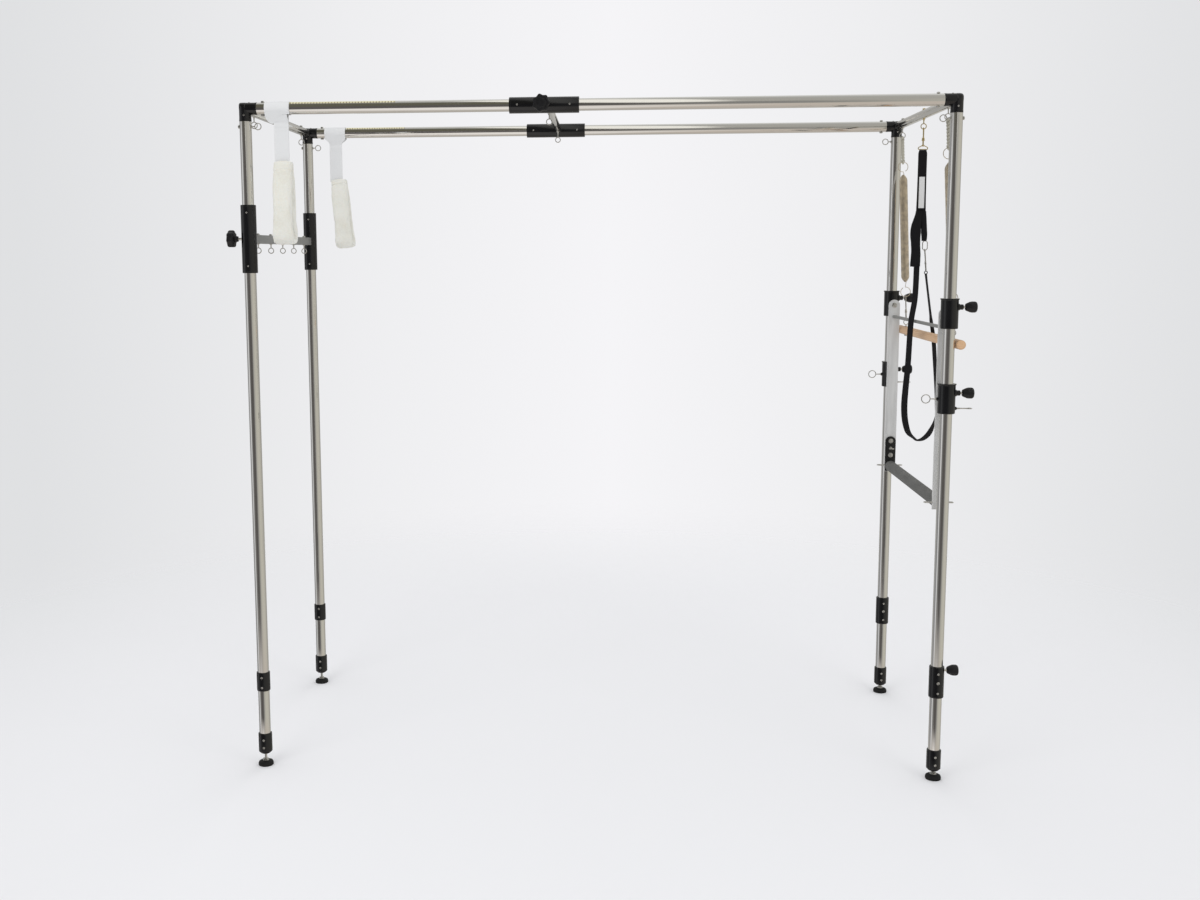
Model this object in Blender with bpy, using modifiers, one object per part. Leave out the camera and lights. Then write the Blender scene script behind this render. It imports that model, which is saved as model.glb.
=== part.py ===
"""Free-standing trapeze frame with sliding sleeves, two bars, springs, a strap and padded loops.

X runs along the frame's length, Y across its width and Z up. All sizes are in metres. The pieces
are placed from the middle of the four posts, and one parent empty then moves that middle so that
the origin lies under the centre of the whole object.
"""

from math import cos, pi, radians, sin, tan

import bmesh
import bpy
from mathutils import Matrix, Vector

# Frame
POST_SPACING_X = 2.34
POST_SPACING_Y = 0.88
RAIL_HEIGHT = 2.293
TUBE_RADIUS = 0.020
TUBE_WALL = 0.002
END_BAR_RADIUS = 0.016
ELBOW_REACH = 0.0415
ELBOW_CORNER_RADIUS = 0.0208
SPIGOT_LENGTH = 0.010

# Legs
COUPLING_RADIUS = {"left": 0.0235, "right": 0.025}
COUPLING_BOTTOM = {"left": 0.276, "right": 0.2935}
COUPLING_TOP = {"left": 0.3425, "right": 0.4014}
BUTT_GAP = 0.001
FITTING_RADIUS = 0.024
FITTING_BOTTOM = {"left": 0.045, "right": 0.032}
FITTING_HEIGHT = 0.074
FITTING_FLOOR = 0.006
FITTING_CHAMFER = 0.007
FOOT_RADIUS = 0.0265
FOOT_THICKNESS = 0.016
FOOT_CROWN = 0.002
FOOT_NUT_RADIUS = 0.010
FOOT_NUT_HEIGHT = 0.008
FOOT_STEM_RADIUS = 0.0045
FOOT_STEM_TOP = 0.075
LEG_KNOB_HEIGHT = 0.388

# Clearances
TOUCH_GAP = 0.0003
RUNNING_GAP = 0.0005
HOLE_GAP = 0.0004
LINK_GAP = 0.0010

# Eyebolts: ring radius is to the middle of the wire
EYE_WIRE = 0.0016
EYE_RADIUS = 0.0107
SMALL_EYE_RADIUS = 0.0094
BOLT_RADIUS = 0.003
NUT_RADIUS = 0.0062
NUT_HEIGHT = 0.006
SINK = 0.001
SEAT_RADIUS = 0.0055
POST_EYE_DROP = 0.0585
POST_EYE_REACH = 0.042
RAIL_BOLT_INSET = 0.060
BAR_EYE_Y = 0.335
BAR_EYE_DROP = 0.044
STRAP_EYE_DROP = 0.042

# Middle slider on the rails
MID_SLEEVE_RADIUS = 0.0265
MID_SLEEVE_LENGTH = 0.231
MID_SLEEVE_X = -0.166
MID_BAR_RADIUS = 0.0125
MID_BAR_X = -0.154
MID_EYE_Y = 0.345
MID_EYE_DROP = 0.045
MID_KNOB_X = -0.174

# Left slider on the left posts
LEFT_SLEEVE_RADIUS = 0.026
LEFT_SLEEVE_DROP = 0.547
LEFT_SLEEVE_LENGTH = 0.229
LEFT_BAR_HEIGHT = 0.030
LEFT_BAR_THICKNESS = 0.020
LEFT_BAR_RISE = 0.115
LEFT_EYE_SPACING = 0.165
LEFT_EYE_COUNT = 5
LEFT_EYE_DROP = 0.039

# Lobed knobs
KNOB_RADIUS = 0.0275
KNOB_LOBE = 0.0022
KNOB_LOBES = 7
KNOB_THICKNESS = 0.026
KNOB_REACH = 0.074
KNOB_STEM_RADIUS = 0.0045

# Collars on the right posts
COLLAR_RADIUS = 0.0285
COLLAR_FLANGE_RADIUS = 0.0305
COLLAR_FLANGE = 0.004
UPPER_COLLAR_DROP = 0.740
LOWER_COLLAR_DROP = 1.022
COLLAR_HEIGHT = 0.100
BOSS_RADIUS = 0.009
BOSS_REACH = 0.044
PULL_KNOB_RADIUS = 0.0185
PULL_KNOB_LENGTH = 0.038
PULL_NECK_RADIUS = 0.004
PULL_NECK_LENGTH = 0.006
UPPER_PLUNGER_RISE = 0.0713
LOWER_PLUNGER_RISE = 0.0685
INNER_COLLAR_EYE_RISE = 0.0486
OUTER_COLLAR_EYE_RISE = 0.017
INNER_COLLAR_EYE_REACH = 0.0675
OUTER_COLLAR_EYE_REACH = 0.0740
COLLAR_EYE_RADIUS = 0.0140

# Push-through bar
PIVOT_RISE = 0.0445
PIVOT_BOSS_RADIUS = 0.013
PIVOT_BOLT_RADIUS = 0.005
PIVOT_HEAD_RADIUS = 0.009
PIVOT_HEAD_HEIGHT = 0.005
PIVOT_BOLT_END = 0.0235
ARM_INNER_Y = 0.381
ARM_THICKNESS = 0.008
ARM_WIDTH = 0.043
ARM_REACH = 0.6625
PUSH_CROSSBAR_DROP = 0.0445
PUSH_CROSSBAR_WIDTH = 0.014
PUSH_CROSSBAR_HEIGHT = 0.010
BRACKET_THICKNESS = 0.005
BRACKET_WIDTH = 0.040
BRACKET_RISE = 0.002
BRACKET_HEIGHT = 0.139
BRACKET_BOLT_RISES = (0.066, 0.123)
BRACKET_EYE_RISE = 0.0945
BRACKET_EYE_REACH = 0.018
GRIP_RADIUS = 0.021
GRIP_RISE = 0.023
ARM_EYE_RISE = 0.0245
ARM_EYE_REACH = 0.0395

# Roll-down bar and its springs
DOWEL_RADIUS = 0.016
DOWEL_LENGTH = 0.914
DOWEL_OFFSET_X = 0.0385
DOWEL_DROP = 0.793
DOWEL_EYE_Y = 0.345
DOWEL_EYE_RISE = 0.033
SPRING_WIRE = 0.0017
SPRING_RADIUS = 0.0138
SPRING_CURLS = 18
POINTS_PER_CURL = 8
SPRING_TOP = 0.149
SPRING_BOTTOM = 0.560
TOP_LOOP_CENTRE = 0.119
BOTTOM_LOOP_CENTRE = 0.599
LOOP_RADIUS = 0.0185
LOOP_STEPS = 9
LINK_WIRE = 0.0017
LINK_HALF_WIDTH = 0.0050
UPPER_SNAP_RADIUS = 0.0088
LOWER_SNAP_RADIUS = 0.0062

# Safety strap, in the plane of the frame's length
STRAP_WIDTH = 0.038
STRAP_THICKNESS = 0.0022
STRAP_HANG = 0.083
TOP_STRAP_LENGTH = 0.218
PAD_LENGTH = 0.197
PAD_LOBE_LENGTH = 0.1055
PAD_THICKNESS = 0.022
SEAM = 0.008
LOWER_STRAP_WIDTH = 0.036
OVAL_HALF = 0.0085
OVAL_LENGTH = 0.033
OVAL_OFFSET_X = 0.0185
SIDE_RING_OFFSET_X = 0.025
SIDE_RING_DROP = 0.0805
SIDE_RING_RADIUS = 0.0052
SIDE_SNAP_RADIUS = 0.0052
TOP_SNAP_RADIUS = 0.0078
DEE_HALF_WIDTH = 0.0165
DEE_HEIGHT = 0.015

# Padded loops under the rails
LOOP_BAND_WIDTH = 0.084
LOOP_BAND_THICKNESS = 0.003
LOOP_STRAP_WIDTH = 0.050
LOOP_STRAP_THICKNESS = 0.004
LOOP_X = {"front": -1.0585, "rear": -1.055}
LOOP_STRAP_X = {"front": -1.0485, "rear": -1.0555}
FLEECE_X = {"front": -1.045, "rear": -1.0465}
LOOP_STRAP_DROP = {"front": 0.166, "rear": 0.174}
FLEECE_LEAN = {"front": 0.0, "rear": 5.0}
FLEECE_LENGTH = 0.287
FLEECE_WIDTH = 0.088
FLEECE_DEPTH = 0.080
FLEECE_THICKNESS = 0.022
FLEECE_TOP_THICKNESS = 0.036
FLEECE_TOP_RADIUS = 0.014
FLEECE_HOLE_TOP_RADIUS = 0.003
FLEECE_CHAMFER = 0.006

# Facets
ROUND = 16
SMALL_ROUND = 12
HEX = 6
RING_STEPS = 8

# Worked out from the sizes above
POST_X = POST_SPACING_X / 2
POST_Y = POST_SPACING_Y / 2
PULL_REACH = BOSS_REACH + PULL_NECK_LENGTH + PULL_KNOB_LENGTH
ORIGIN_SHIFT_X = (KNOB_REACH - PULL_REACH) / 2
ORIGIN_SHIFT_Y = (KNOB_REACH - FLEECE_DEPTH / 2) / 2
SLEEVE_BORE = TUBE_RADIUS + RUNNING_GAP
SOCKET_BORE = TUBE_RADIUS + TOUCH_GAP
TUBE_BORE = TUBE_RADIUS - TUBE_WALL
PIN_TIP = TUBE_RADIUS + RUNNING_GAP
DOWEL_X = POST_X + DOWEL_OFFSET_X
OVAL_X = POST_X + OVAL_OFFSET_X
SIDE_RING_X = POST_X + SIDE_RING_OFFSET_X
ARM_OUTER_Y = ARM_INNER_Y + ARM_THICKNESS
BRACKET_INNER_Y = ARM_INNER_Y - TOUCH_GAP - BRACKET_THICKNESS

# Heights, from the top rails down and from the collars and the push-through bar up
POST_EYE_HEIGHT = RAIL_HEIGHT - POST_EYE_DROP
LEFT_SLEEVE_BOTTOM = RAIL_HEIGHT - LEFT_SLEEVE_DROP
LEFT_SLEEVE_TOP = LEFT_SLEEVE_BOTTOM + LEFT_SLEEVE_LENGTH
LEFT_BAR_Z = LEFT_SLEEVE_BOTTOM + LEFT_BAR_RISE
UPPER_COLLAR_BOTTOM = RAIL_HEIGHT - UPPER_COLLAR_DROP
LOWER_COLLAR_BOTTOM = RAIL_HEIGHT - LOWER_COLLAR_DROP
UPPER_PLUNGER_Z = UPPER_COLLAR_BOTTOM + UPPER_PLUNGER_RISE
LOWER_PLUNGER_Z = LOWER_COLLAR_BOTTOM + LOWER_PLUNGER_RISE
INNER_COLLAR_EYE_Z = LOWER_COLLAR_BOTTOM + INNER_COLLAR_EYE_RISE
OUTER_COLLAR_EYE_Z = LOWER_COLLAR_BOTTOM + OUTER_COLLAR_EYE_RISE
PIVOT_HEIGHT = UPPER_COLLAR_BOTTOM + PIVOT_RISE
ARM_BOTTOM = PIVOT_HEIGHT - ARM_REACH
PUSH_CROSSBAR_Z = PIVOT_HEIGHT - PUSH_CROSSBAR_DROP
BRACKET_BOTTOM = ARM_BOTTOM + BRACKET_RISE
BRACKET_TOP = BRACKET_BOTTOM + BRACKET_HEIGHT
BRACKET_BOLT_Z = [ARM_BOTTOM + rise for rise in BRACKET_BOLT_RISES]
BRACKET_EYE_Z = ARM_BOTTOM + BRACKET_EYE_RISE
GRIP_Z = ARM_BOTTOM + GRIP_RISE
ARM_EYE_Z = ARM_BOTTOM + ARM_EYE_RISE
DOWEL_Z = RAIL_HEIGHT - DOWEL_DROP
STRAP_TOP = RAIL_HEIGHT - STRAP_EYE_DROP - STRAP_HANG
PAD_TOP = STRAP_TOP - TOP_STRAP_LENGTH
PAD_BOTTOM = PAD_TOP - PAD_LENGTH
PAD_LOBE_BOTTOM = PAD_TOP - PAD_LOBE_LENGTH
OVAL_BOTTOM = PAD_LOBE_BOTTOM - OVAL_LENGTH
SIDE_RING_Z = OVAL_BOTTOM - SIDE_RING_DROP
STRAP_BOTTOM = {end: RAIL_HEIGHT - drop for end, drop in LOOP_STRAP_DROP.items()}

SIDES = {"left": -1, "right": 1}
ENDS = {"front": -1, "rear": 1}

ALONG_X = Matrix.Rotation(pi / 2, 4, "Y")
ALONG_Y = Matrix.Rotation(-pi / 2, 4, "X")
ALONG_MINUS_X = Matrix.Rotation(-pi / 2, 4, "Y")
ALONG_MINUS_Y = Matrix.Rotation(pi / 2, 4, "X")
UPSIDE_DOWN = Matrix.Rotation(pi, 4, "X")
QUARTER_TURN = Matrix.Rotation(pi / 2, 4, "Z")
MERGE = 0.00002

COLOURS = {
    "chrome": ((0.80, 0.80, 0.78), 0.12, 1.0),
    "steel": ((0.62, 0.63, 0.64), 0.30, 1.0),
    "black_plastic": ((0.030, 0.031, 0.036), 0.42, 0.0),
    "black_rubber": ((0.025, 0.025, 0.025), 0.80, 0.0),
    "grey_paint": ((0.36, 0.37, 0.37), 0.40, 0.2),
    "arm_paint": ((0.55, 0.56, 0.54), 0.35, 0.4),
    "grip_grey": ((0.13, 0.13, 0.125), 0.60, 0.0),
    "brass": ((0.72, 0.56, 0.26), 0.25, 1.0),
    "wood": ((0.62, 0.40, 0.24), 0.50, 0.0),
    "spring_steel": ((0.66, 0.56, 0.42), 0.35, 1.0),
    "webbing_black": ((0.015, 0.014, 0.016), 0.85, 0.0),
    "webbing_white": ((0.78, 0.79, 0.80), 0.80, 0.0),
    "fleece": ((0.80, 0.79, 0.73), 0.95, 0.0),
}


def clear_scene():
    """Remove whatever the file holds, so that the model starts empty."""
    for old in list(bpy.data.objects):
        bpy.data.objects.remove(old)


clear_scene()
PARTS = bpy.data.collections.new("trapeze_frame")
CUTTERS = bpy.data.collections.new("trapeze_frame_cutters")
bpy.context.scene.collection.children.link(PARTS)
bpy.context.scene.collection.children.link(CUTTERS)


# Working shapes

def move(x=0.0, y=0.0, z=0.0):
    return Matrix.Translation((x, y, z))


def working_object(data):
    """An object that a modifier or a curve is read from and that is then removed."""
    obj = bpy.data.objects.new("working", data)
    bpy.context.scene.collection.objects.link(obj)
    return obj


def baked(obj):
    """The evaluated mesh of a working object, welded and facing outwards."""
    bpy.context.view_layer.update()
    graph = bpy.context.evaluated_depsgraph_get()
    mesh = bpy.data.meshes.new_from_object(obj.evaluated_get(graph))
    bpy.data.objects.remove(obj)
    bm = bmesh.new()
    bm.from_mesh(mesh)
    bmesh.ops.remove_doubles(bm, verts=bm.verts, dist=MERGE)
    bmesh.ops.recalc_face_normals(bm, faces=bm.faces)
    if bm.calc_volume(signed=True) < 0:
        bmesh.ops.reverse_faces(bm, faces=bm.faces)
    bm.to_mesh(mesh)
    bm.free()
    return mesh


def turned(profile, sides=ROUND, closed=False):
    """A profile of radius and height pairs turned round Z."""
    mesh = bpy.data.meshes.new("profile")
    bm = bmesh.new()
    corners = [bm.verts.new((radius, 0.0, height)) for radius, height in profile]
    for first, second in zip(corners, corners[1:]):
        bm.edges.new((first, second))
    if closed:
        bm.edges.new((corners[-1], corners[0]))
    bm.to_mesh(mesh)
    bm.free()
    obj = working_object(mesh)
    screw = obj.modifiers.new("Turn", "SCREW")
    screw.steps = sides
    screw.render_steps = sides
    screw.use_merge_vertices = True
    screw.merge_threshold = MERGE
    return baked(obj)


def tube(outer, inner, low, high, sides=ROUND):
    return turned([(outer, high), (outer, low), (inner, low), (inner, high)], sides, closed=True)


def rod(radius, low, high, sides=ROUND):
    """A plain cylinder round Z from one height to another."""
    mesh = bpy.data.meshes.new("rod")
    bm = bmesh.new()
    middle = Matrix.Translation((0, 0, (low + high) / 2))
    bmesh.ops.create_cone(bm, cap_ends=True, segments=sides, radius1=radius, radius2=radius,
                          depth=high - low, matrix=middle)
    bm.to_mesh(mesh)
    bm.free()
    return mesh


def box(size_x, size_y, size_z):
    mesh = bpy.data.meshes.new("box")
    bm = bmesh.new()
    bmesh.ops.create_cube(bm, size=1.0, matrix=Matrix.Diagonal((size_x, size_y, size_z, 1.0)))
    bm.to_mesh(mesh)
    bm.free()
    return mesh


def ball(radius, segments, rings):
    mesh = bpy.data.meshes.new("ball")
    bm = bmesh.new()
    bmesh.ops.create_uvsphere(bm, u_segments=segments, v_segments=rings, radius=radius)
    bm.to_mesh(mesh)
    bm.free()
    return mesh


def wire(points, radius, cyclic=False, resolution=0):
    """A wire of round section through the points."""
    curve = bpy.data.curves.new("wire", "CURVE")
    curve.dimensions = "3D"
    curve.bevel_depth = radius
    curve.bevel_resolution = resolution
    curve.use_fill_caps = True
    spline = curve.splines.new("POLY")
    spline.points.add(len(points) - 1)
    for slot, point in zip(spline.points, points):
        slot.co = (point[0], point[1], point[2], 1.0)
    spline.use_cyclic_u = cyclic
    return baked(working_object(curve))


def plate(outlines, thickness, chamfer=0.0):
    """Flat outlines in the XY plane, the later ones holes, extruded evenly both ways along Z."""
    curve = bpy.data.curves.new("plate", "CURVE")
    curve.dimensions = "2D"
    curve.fill_mode = "BOTH"
    curve.extrude = thickness / 2 - chamfer
    curve.bevel_depth = chamfer
    curve.bevel_resolution = 0
    curve.offset = -chamfer
    for outline in outlines:
        spline = curve.splines.new("POLY")
        spline.points.add(len(outline) - 1)
        for slot, point in zip(spline.points, outline):
            slot.co = (point[0], point[1], 0.0, 1.0)
        spline.use_cyclic_u = True
    return baked(working_object(curve))


def arc(centre_x, centre_y, radius, start, end, steps):
    """Points on a circle from one angle in degrees to another."""
    angles = [radians(start + (end - start) * step / steps) for step in range(steps + 1)]
    return [(centre_x + radius * cos(a), centre_y + radius * sin(a)) for a in angles]


def placed(mesh, *matrices):
    """A copy of the mesh moved by the matrices, the last one first."""
    result = mesh.copy()
    for matrix in reversed(matrices):
        result.transform(matrix)
    return result


def group(meshes):
    """Separate solids kept together in one mesh."""
    result = bpy.data.meshes.new("group")
    bm = bmesh.new()
    for mesh in meshes:
        bm.from_mesh(mesh)
    bm.to_mesh(result)
    bm.free()
    return result


def combine(base, others, operation):
    """One solid from a base mesh and the others, by exact Booleans."""
    obj = working_object(base.copy())
    tools = []
    for other in others:
        tool = working_object(other)
        tools.append(tool)
        boolean = obj.modifiers.new("Combine", "BOOLEAN")
        boolean.operation = operation
        boolean.solver = "EXACT"
        boolean.object = tool
    mesh = baked(obj)
    for tool in tools:
        bpy.data.objects.remove(tool)
    return mesh


def joined(base, *others):
    return combine(base, others, "UNION")


# Nodes, bodies and materials

def make_materials():
    made = {}
    for name, (colour, roughness, metallic) in COLOURS.items():
        material = bpy.data.materials.new(name)
        material.use_nodes = True
        shader = material.node_tree.nodes["Principled BSDF"]
        shader.inputs["Base Color"].default_value = (*colour, 1.0)
        shader.inputs["Roughness"].default_value = roughness
        shader.inputs["Metallic"].default_value = metallic
        made[name] = material
    return made


def make_body(name, x=0.0, y=0.0, z=0.0, parent=None):
    """An empty on a body's joint axis, in the frame of the four posts."""
    empty = bpy.data.objects.new(name + "_axis", None)
    PARTS.objects.link(empty)
    empty["place"] = (x, y, z)
    origin = Vector((0, 0, 0))
    if parent is not None:
        empty.parent = parent
        origin = Vector(parent["place"])
    empty.location = Vector((x, y, z)) - origin
    return empty


MATERIALS = make_materials()


def node(name, mesh, material, body):
    """A named sub-part whose mesh is given in the frame of the four posts."""
    pivot = Vector(body["place"])
    mesh.transform(Matrix.Translation(-pivot))
    mesh.name = name
    mesh.materials.clear()
    mesh.materials.append(MATERIALS[material])
    obj = bpy.data.objects.new(name, mesh)
    PARTS.objects.link(obj)
    obj.parent = body
    for polygon in mesh.polygons:
        polygon.use_smooth = True
    mesh.set_sharp_from_angle(angle=radians(35))
    return obj


def drill(obj, *holes):
    """Cut the holes, given in the frame of the four posts, out of a sub-part."""
    cutter = bpy.data.objects.new(obj.name + "_holes", group(holes))
    cutter.data.transform(Matrix.Translation(-Vector(obj.parent["place"])))
    CUTTERS.objects.link(cutter)
    cutter.parent = obj.parent
    cutter.hide_render = True
    cutter.display_type = "WIRE"
    boolean = obj.modifiers.new("Holes", "BOOLEAN")
    boolean.operation = "DIFFERENCE"
    boolean.solver = "EXACT"
    boolean.object = cutter
    return obj


ROOT = make_body("frame")
ROOT.location = (ORIGIN_SHIFT_X, ORIGIN_SHIFT_Y, 0.0)
MID = make_body("mid_slider", MID_SLEEVE_X, 0.0, RAIL_HEIGHT, ROOT)
MID_KNOB = make_body("mid_knob", MID_KNOB_X, -POST_Y, RAIL_HEIGHT, MID)
LEFT = make_body("left_slider", -POST_X, 0.0, LEFT_BAR_Z, ROOT)
LEFT_KNOB = make_body("left_knob", -POST_X, -POST_Y, LEFT_BAR_Z, LEFT)
CARRIAGE = make_body("push_carriage", POST_X, 0.0, PIVOT_HEIGHT, ROOT)
PUSH = make_body("push_bar", POST_X, 0.0, PIVOT_HEIGHT, CARRIAGE)
SPRING_TOP_Z = RAIL_HEIGHT - BAR_EYE_DROP
HANGER = make_body("springs", POST_X, 0.0, SPRING_TOP_Z, ROOT)
ROLL = make_body("roll_bar", DOWEL_X, 0.0, DOWEL_Z, HANGER)
STRAP_EYE_Z = RAIL_HEIGHT - STRAP_EYE_DROP
STRAP = make_body("safety_strap", POST_X, 0.0, STRAP_EYE_Z, ROOT)
LEG_KNOB = make_body("leg_knob", POST_X, -POST_Y, LEG_KNOB_HEIGHT, ROOT)


# Bolts and eyes

def eyebolt(seat, through=0.0, ring_radius=EYE_RADIUS, hollow=False):
    """A ring in the XZ plane round the origin, its bolt along +Z, ready to join to what holds it.

    The bolt seats at the given height. Where it passes through something, there is a nut beyond
    the given thickness, and across a hollow the bolt shows as well.
    """
    profile = [(0.0, seat + SINK), (SEAT_RADIUS, seat + SINK), (EYE_WIRE * 1.3, ring_radius),
               (0.0, ring_radius)]
    circle = [(x, 0.0, z) for x, z in arc(0, 0, ring_radius, 22.5, 337.5, RING_STEPS - 1)]
    eye = joined(wire(circle, EYE_WIRE, cyclic=True), turned(profile, HEX))
    if through == 0:
        return eye
    pieces = [eye, nut_on(seat + through)]
    if hollow:
        pieces.append(rod(BOLT_RADIUS, seat + SINK / 2, seat + through - SINK / 2, 4))
    return group(pieces)


def nut_on(distance):
    """A nut or bolt head along Z, sunk a little into the face at this distance."""
    return rod(NUT_RADIUS, distance - SINK, distance + NUT_HEIGHT, HEX)


# Frame

def post_low(side):
    return (COUPLING_BOTTOM[side] + COUPLING_TOP[side]) / 2


def build_posts():
    top = RAIL_HEIGHT - ELBOW_REACH - TOUCH_GAP
    eye = eyebolt(POST_EYE_REACH - TUBE_RADIUS, 2 * TUBE_RADIUS, hollow=True)
    for end, sign_y in ENDS.items():
        for side, sign_x in SIDES.items():
            outward = ALONG_X if sign_x > 0 else ALONG_MINUS_X
            low = post_low(side) + BUTT_GAP / 2
            ring = move(-sign_x * POST_EYE_REACH, 0, POST_EYE_HEIGHT)
            post = joined(tube(TUBE_RADIUS, TUBE_BORE, low, top), placed(eye, ring, outward))
            node(f"post_{end}_{side}", placed(post, move(sign_x * POST_X, sign_y * POST_Y)),
                 "chrome", ROOT)


def build_rails():
    half = POST_X - ELBOW_REACH - TOUCH_GAP
    bolt_x = POST_X - RAIL_BOLT_INSET
    nuts = []
    for sign in (-1, 1):
        nuts.append(placed(nut_on(TUBE_RADIUS), move(sign * bolt_x)))
        nuts.append(placed(nut_on(TUBE_RADIUS), move(sign * bolt_x), UPSIDE_DOWN))
        nuts.append(placed(rod(BOLT_RADIUS, -TUBE_RADIUS, TUBE_RADIUS, 4), move(sign * bolt_x)))
    for end, sign_y in ENDS.items():
        rail = joined(placed(tube(TUBE_RADIUS, TUBE_BORE, -half, half), ALONG_X), *nuts)
        node(f"rail_{end}", placed(rail, move(0, sign_y * POST_Y, RAIL_HEIGHT)), "chrome", ROOT)


def build_end_bars():
    half = POST_Y - ELBOW_REACH - TOUCH_GAP
    bar = placed(tube(END_BAR_RADIUS, END_BAR_RADIUS - TUBE_WALL, -half, half), ALONG_Y)
    eye = eyebolt(BAR_EYE_DROP - END_BAR_RADIUS, 2 * END_BAR_RADIUS, hollow=True)
    strap_eye = eyebolt(STRAP_EYE_DROP - END_BAR_RADIUS, 2 * END_BAR_RADIUS, SMALL_EYE_RADIUS,
                        hollow=True)
    for side, sign_x in SIDES.items():
        eyes = [placed(eye, move(0, sign * BAR_EYE_Y, -BAR_EYE_DROP)) for sign in (-1, 1)]
        if side == "right":
            eyes.append(placed(strap_eye, move(0, 0, -STRAP_EYE_DROP)))
        node(f"end_bar_{side}", placed(joined(bar, *eyes), move(sign_x * POST_X, 0, RAIL_HEIGHT)),
             "chrome", ROOT)


def build_elbows():
    spigot = TUBE_BORE - TOUCH_GAP
    thin_spigot = END_BAR_RADIUS - TUBE_WALL - TOUCH_GAP
    reach = ELBOW_REACH + SPIGOT_LENGTH
    long_leg = joined(rod(TUBE_RADIUS, 0, ELBOW_REACH), rod(spigot, SPIGOT_LENGTH, reach, 8))
    thin_leg = joined(rod(END_BAR_RADIUS, 0, ELBOW_REACH),
                      rod(thin_spigot, SPIGOT_LENGTH, reach, 8))
    for end, sign_y in ENDS.items():
        for side, sign_x in SIDES.items():
            inward_x = ALONG_MINUS_X if sign_x > 0 else ALONG_X
            inward_y = ALONG_MINUS_Y if sign_y > 0 else ALONG_Y
            elbow = joined(ball(ELBOW_CORNER_RADIUS, SMALL_ROUND, 6), placed(long_leg, UPSIDE_DOWN),
                           placed(long_leg, inward_x), placed(thin_leg, inward_y))
            node(f"elbow_{end}_{side}",
                 placed(elbow, move(sign_x * POST_X, sign_y * POST_Y, RAIL_HEIGHT)),
                 "black_plastic", ROOT)


def build_legs():
    stem_hole = FOOT_STEM_RADIUS + HOLE_GAP
    knob_bore = rod(KNOB_STEM_RADIUS + HOLE_GAP, 0, COUPLING_RADIUS["right"] * 2, 8)
    for end, sign_y in ENDS.items():
        for side, sign_x in SIDES.items():
            here = move(sign_x * POST_X, sign_y * POST_Y)
            shell = tube(COUPLING_RADIUS[side], SOCKET_BORE, COUPLING_BOTTOM[side],
                         COUPLING_TOP[side])
            coupling = node(f"coupling_{end}_{side}", placed(shell, here), "black_plastic", ROOT)
            if (end, side) == ("front", "right"):
                drill(coupling, placed(knob_bore, here, move(0, 0, LEG_KNOB_HEIGHT), ALONG_X))
            low = FITTING_BOTTOM[side]
            fitting_top = low + FITTING_HEIGHT
            floor = low + FITTING_FLOOR
            top = post_low(side) - BUTT_GAP / 2
            leg = turned([(TUBE_RADIUS, top), (TUBE_RADIUS, fitting_top),
                          (FITTING_RADIUS, fitting_top), (FITTING_RADIUS, low + FITTING_CHAMFER),
                          (FITTING_RADIUS - FITTING_CHAMFER, low), (stem_hole, low),
                          (stem_hole, floor), (TUBE_BORE, floor), (TUBE_BORE, top)], closed=True)
            node(f"lower_leg_{end}_{side}", placed(leg, here), "chrome", ROOT)


def build_feet():
    nut_base = FOOT_THICKNESS + FOOT_CROWN
    nut_top = nut_base + FOOT_NUT_HEIGHT
    foot = turned([(0, FOOT_STEM_TOP), (FOOT_STEM_RADIUS, FOOT_STEM_TOP),
                   (FOOT_STEM_RADIUS, nut_top), (FOOT_NUT_RADIUS, nut_top),
                   (FOOT_NUT_RADIUS, nut_base), (FOOT_RADIUS, FOOT_THICKNESS),
                   (FOOT_RADIUS, 0.0), (0, 0.0)], SMALL_ROUND)
    for end, sign_y in ENDS.items():
        for side, sign_x in SIDES.items():
            body = make_body(f"foot_{end}_{side}", sign_x * POST_X, sign_y * POST_Y, 0.0, ROOT)
            node(f"foot_{end}_{side}", placed(foot, move(sign_x * POST_X, sign_y * POST_Y)),
                 "black_rubber", body)


# Knobs

def lobed_knob():
    """A lobed clamping knob turned outwards along Z, its stem reaching in to the tube."""
    points = []
    steps = KNOB_LOBES * 4
    for step in range(steps):
        angle = 2 * pi * step / steps
        radius = KNOB_RADIUS + KNOB_LOBE * cos(KNOB_LOBES * angle)
        points.append((radius * cos(angle), radius * sin(angle)))
    head = plate([points], KNOB_THICKNESS, 0.003)
    stem = rod(KNOB_STEM_RADIUS, PIN_TIP, KNOB_REACH - KNOB_THICKNESS / 2, 8)
    return joined(placed(head, move(0, 0, KNOB_REACH - KNOB_THICKNESS / 2)), stem)


def knob_hole(sleeve_radius):
    return rod(KNOB_STEM_RADIUS + HOLE_GAP, 0, sleeve_radius * 1.6, 8)


def pull_knob(base, pin_radius=PULL_NECK_RADIUS):
    """A round pull knob along Z whose neck rests at the given distance, with its pin inside."""
    knob_low = base + PULL_NECK_LENGTH
    knob_top = knob_low + PULL_KNOB_LENGTH
    waist = PULL_KNOB_RADIUS * 0.6
    profile = [(0, knob_top), (PULL_KNOB_RADIUS * 0.85, knob_top),
               (PULL_KNOB_RADIUS, knob_top - 0.003),
               (PULL_KNOB_RADIUS, knob_low + PULL_KNOB_LENGTH * 0.45), (waist, knob_low),
               (pin_radius, knob_low), (pin_radius, PIN_TIP), (0, PIN_TIP)]
    return turned(profile, SMALL_ROUND)


# Middle slider

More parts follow.
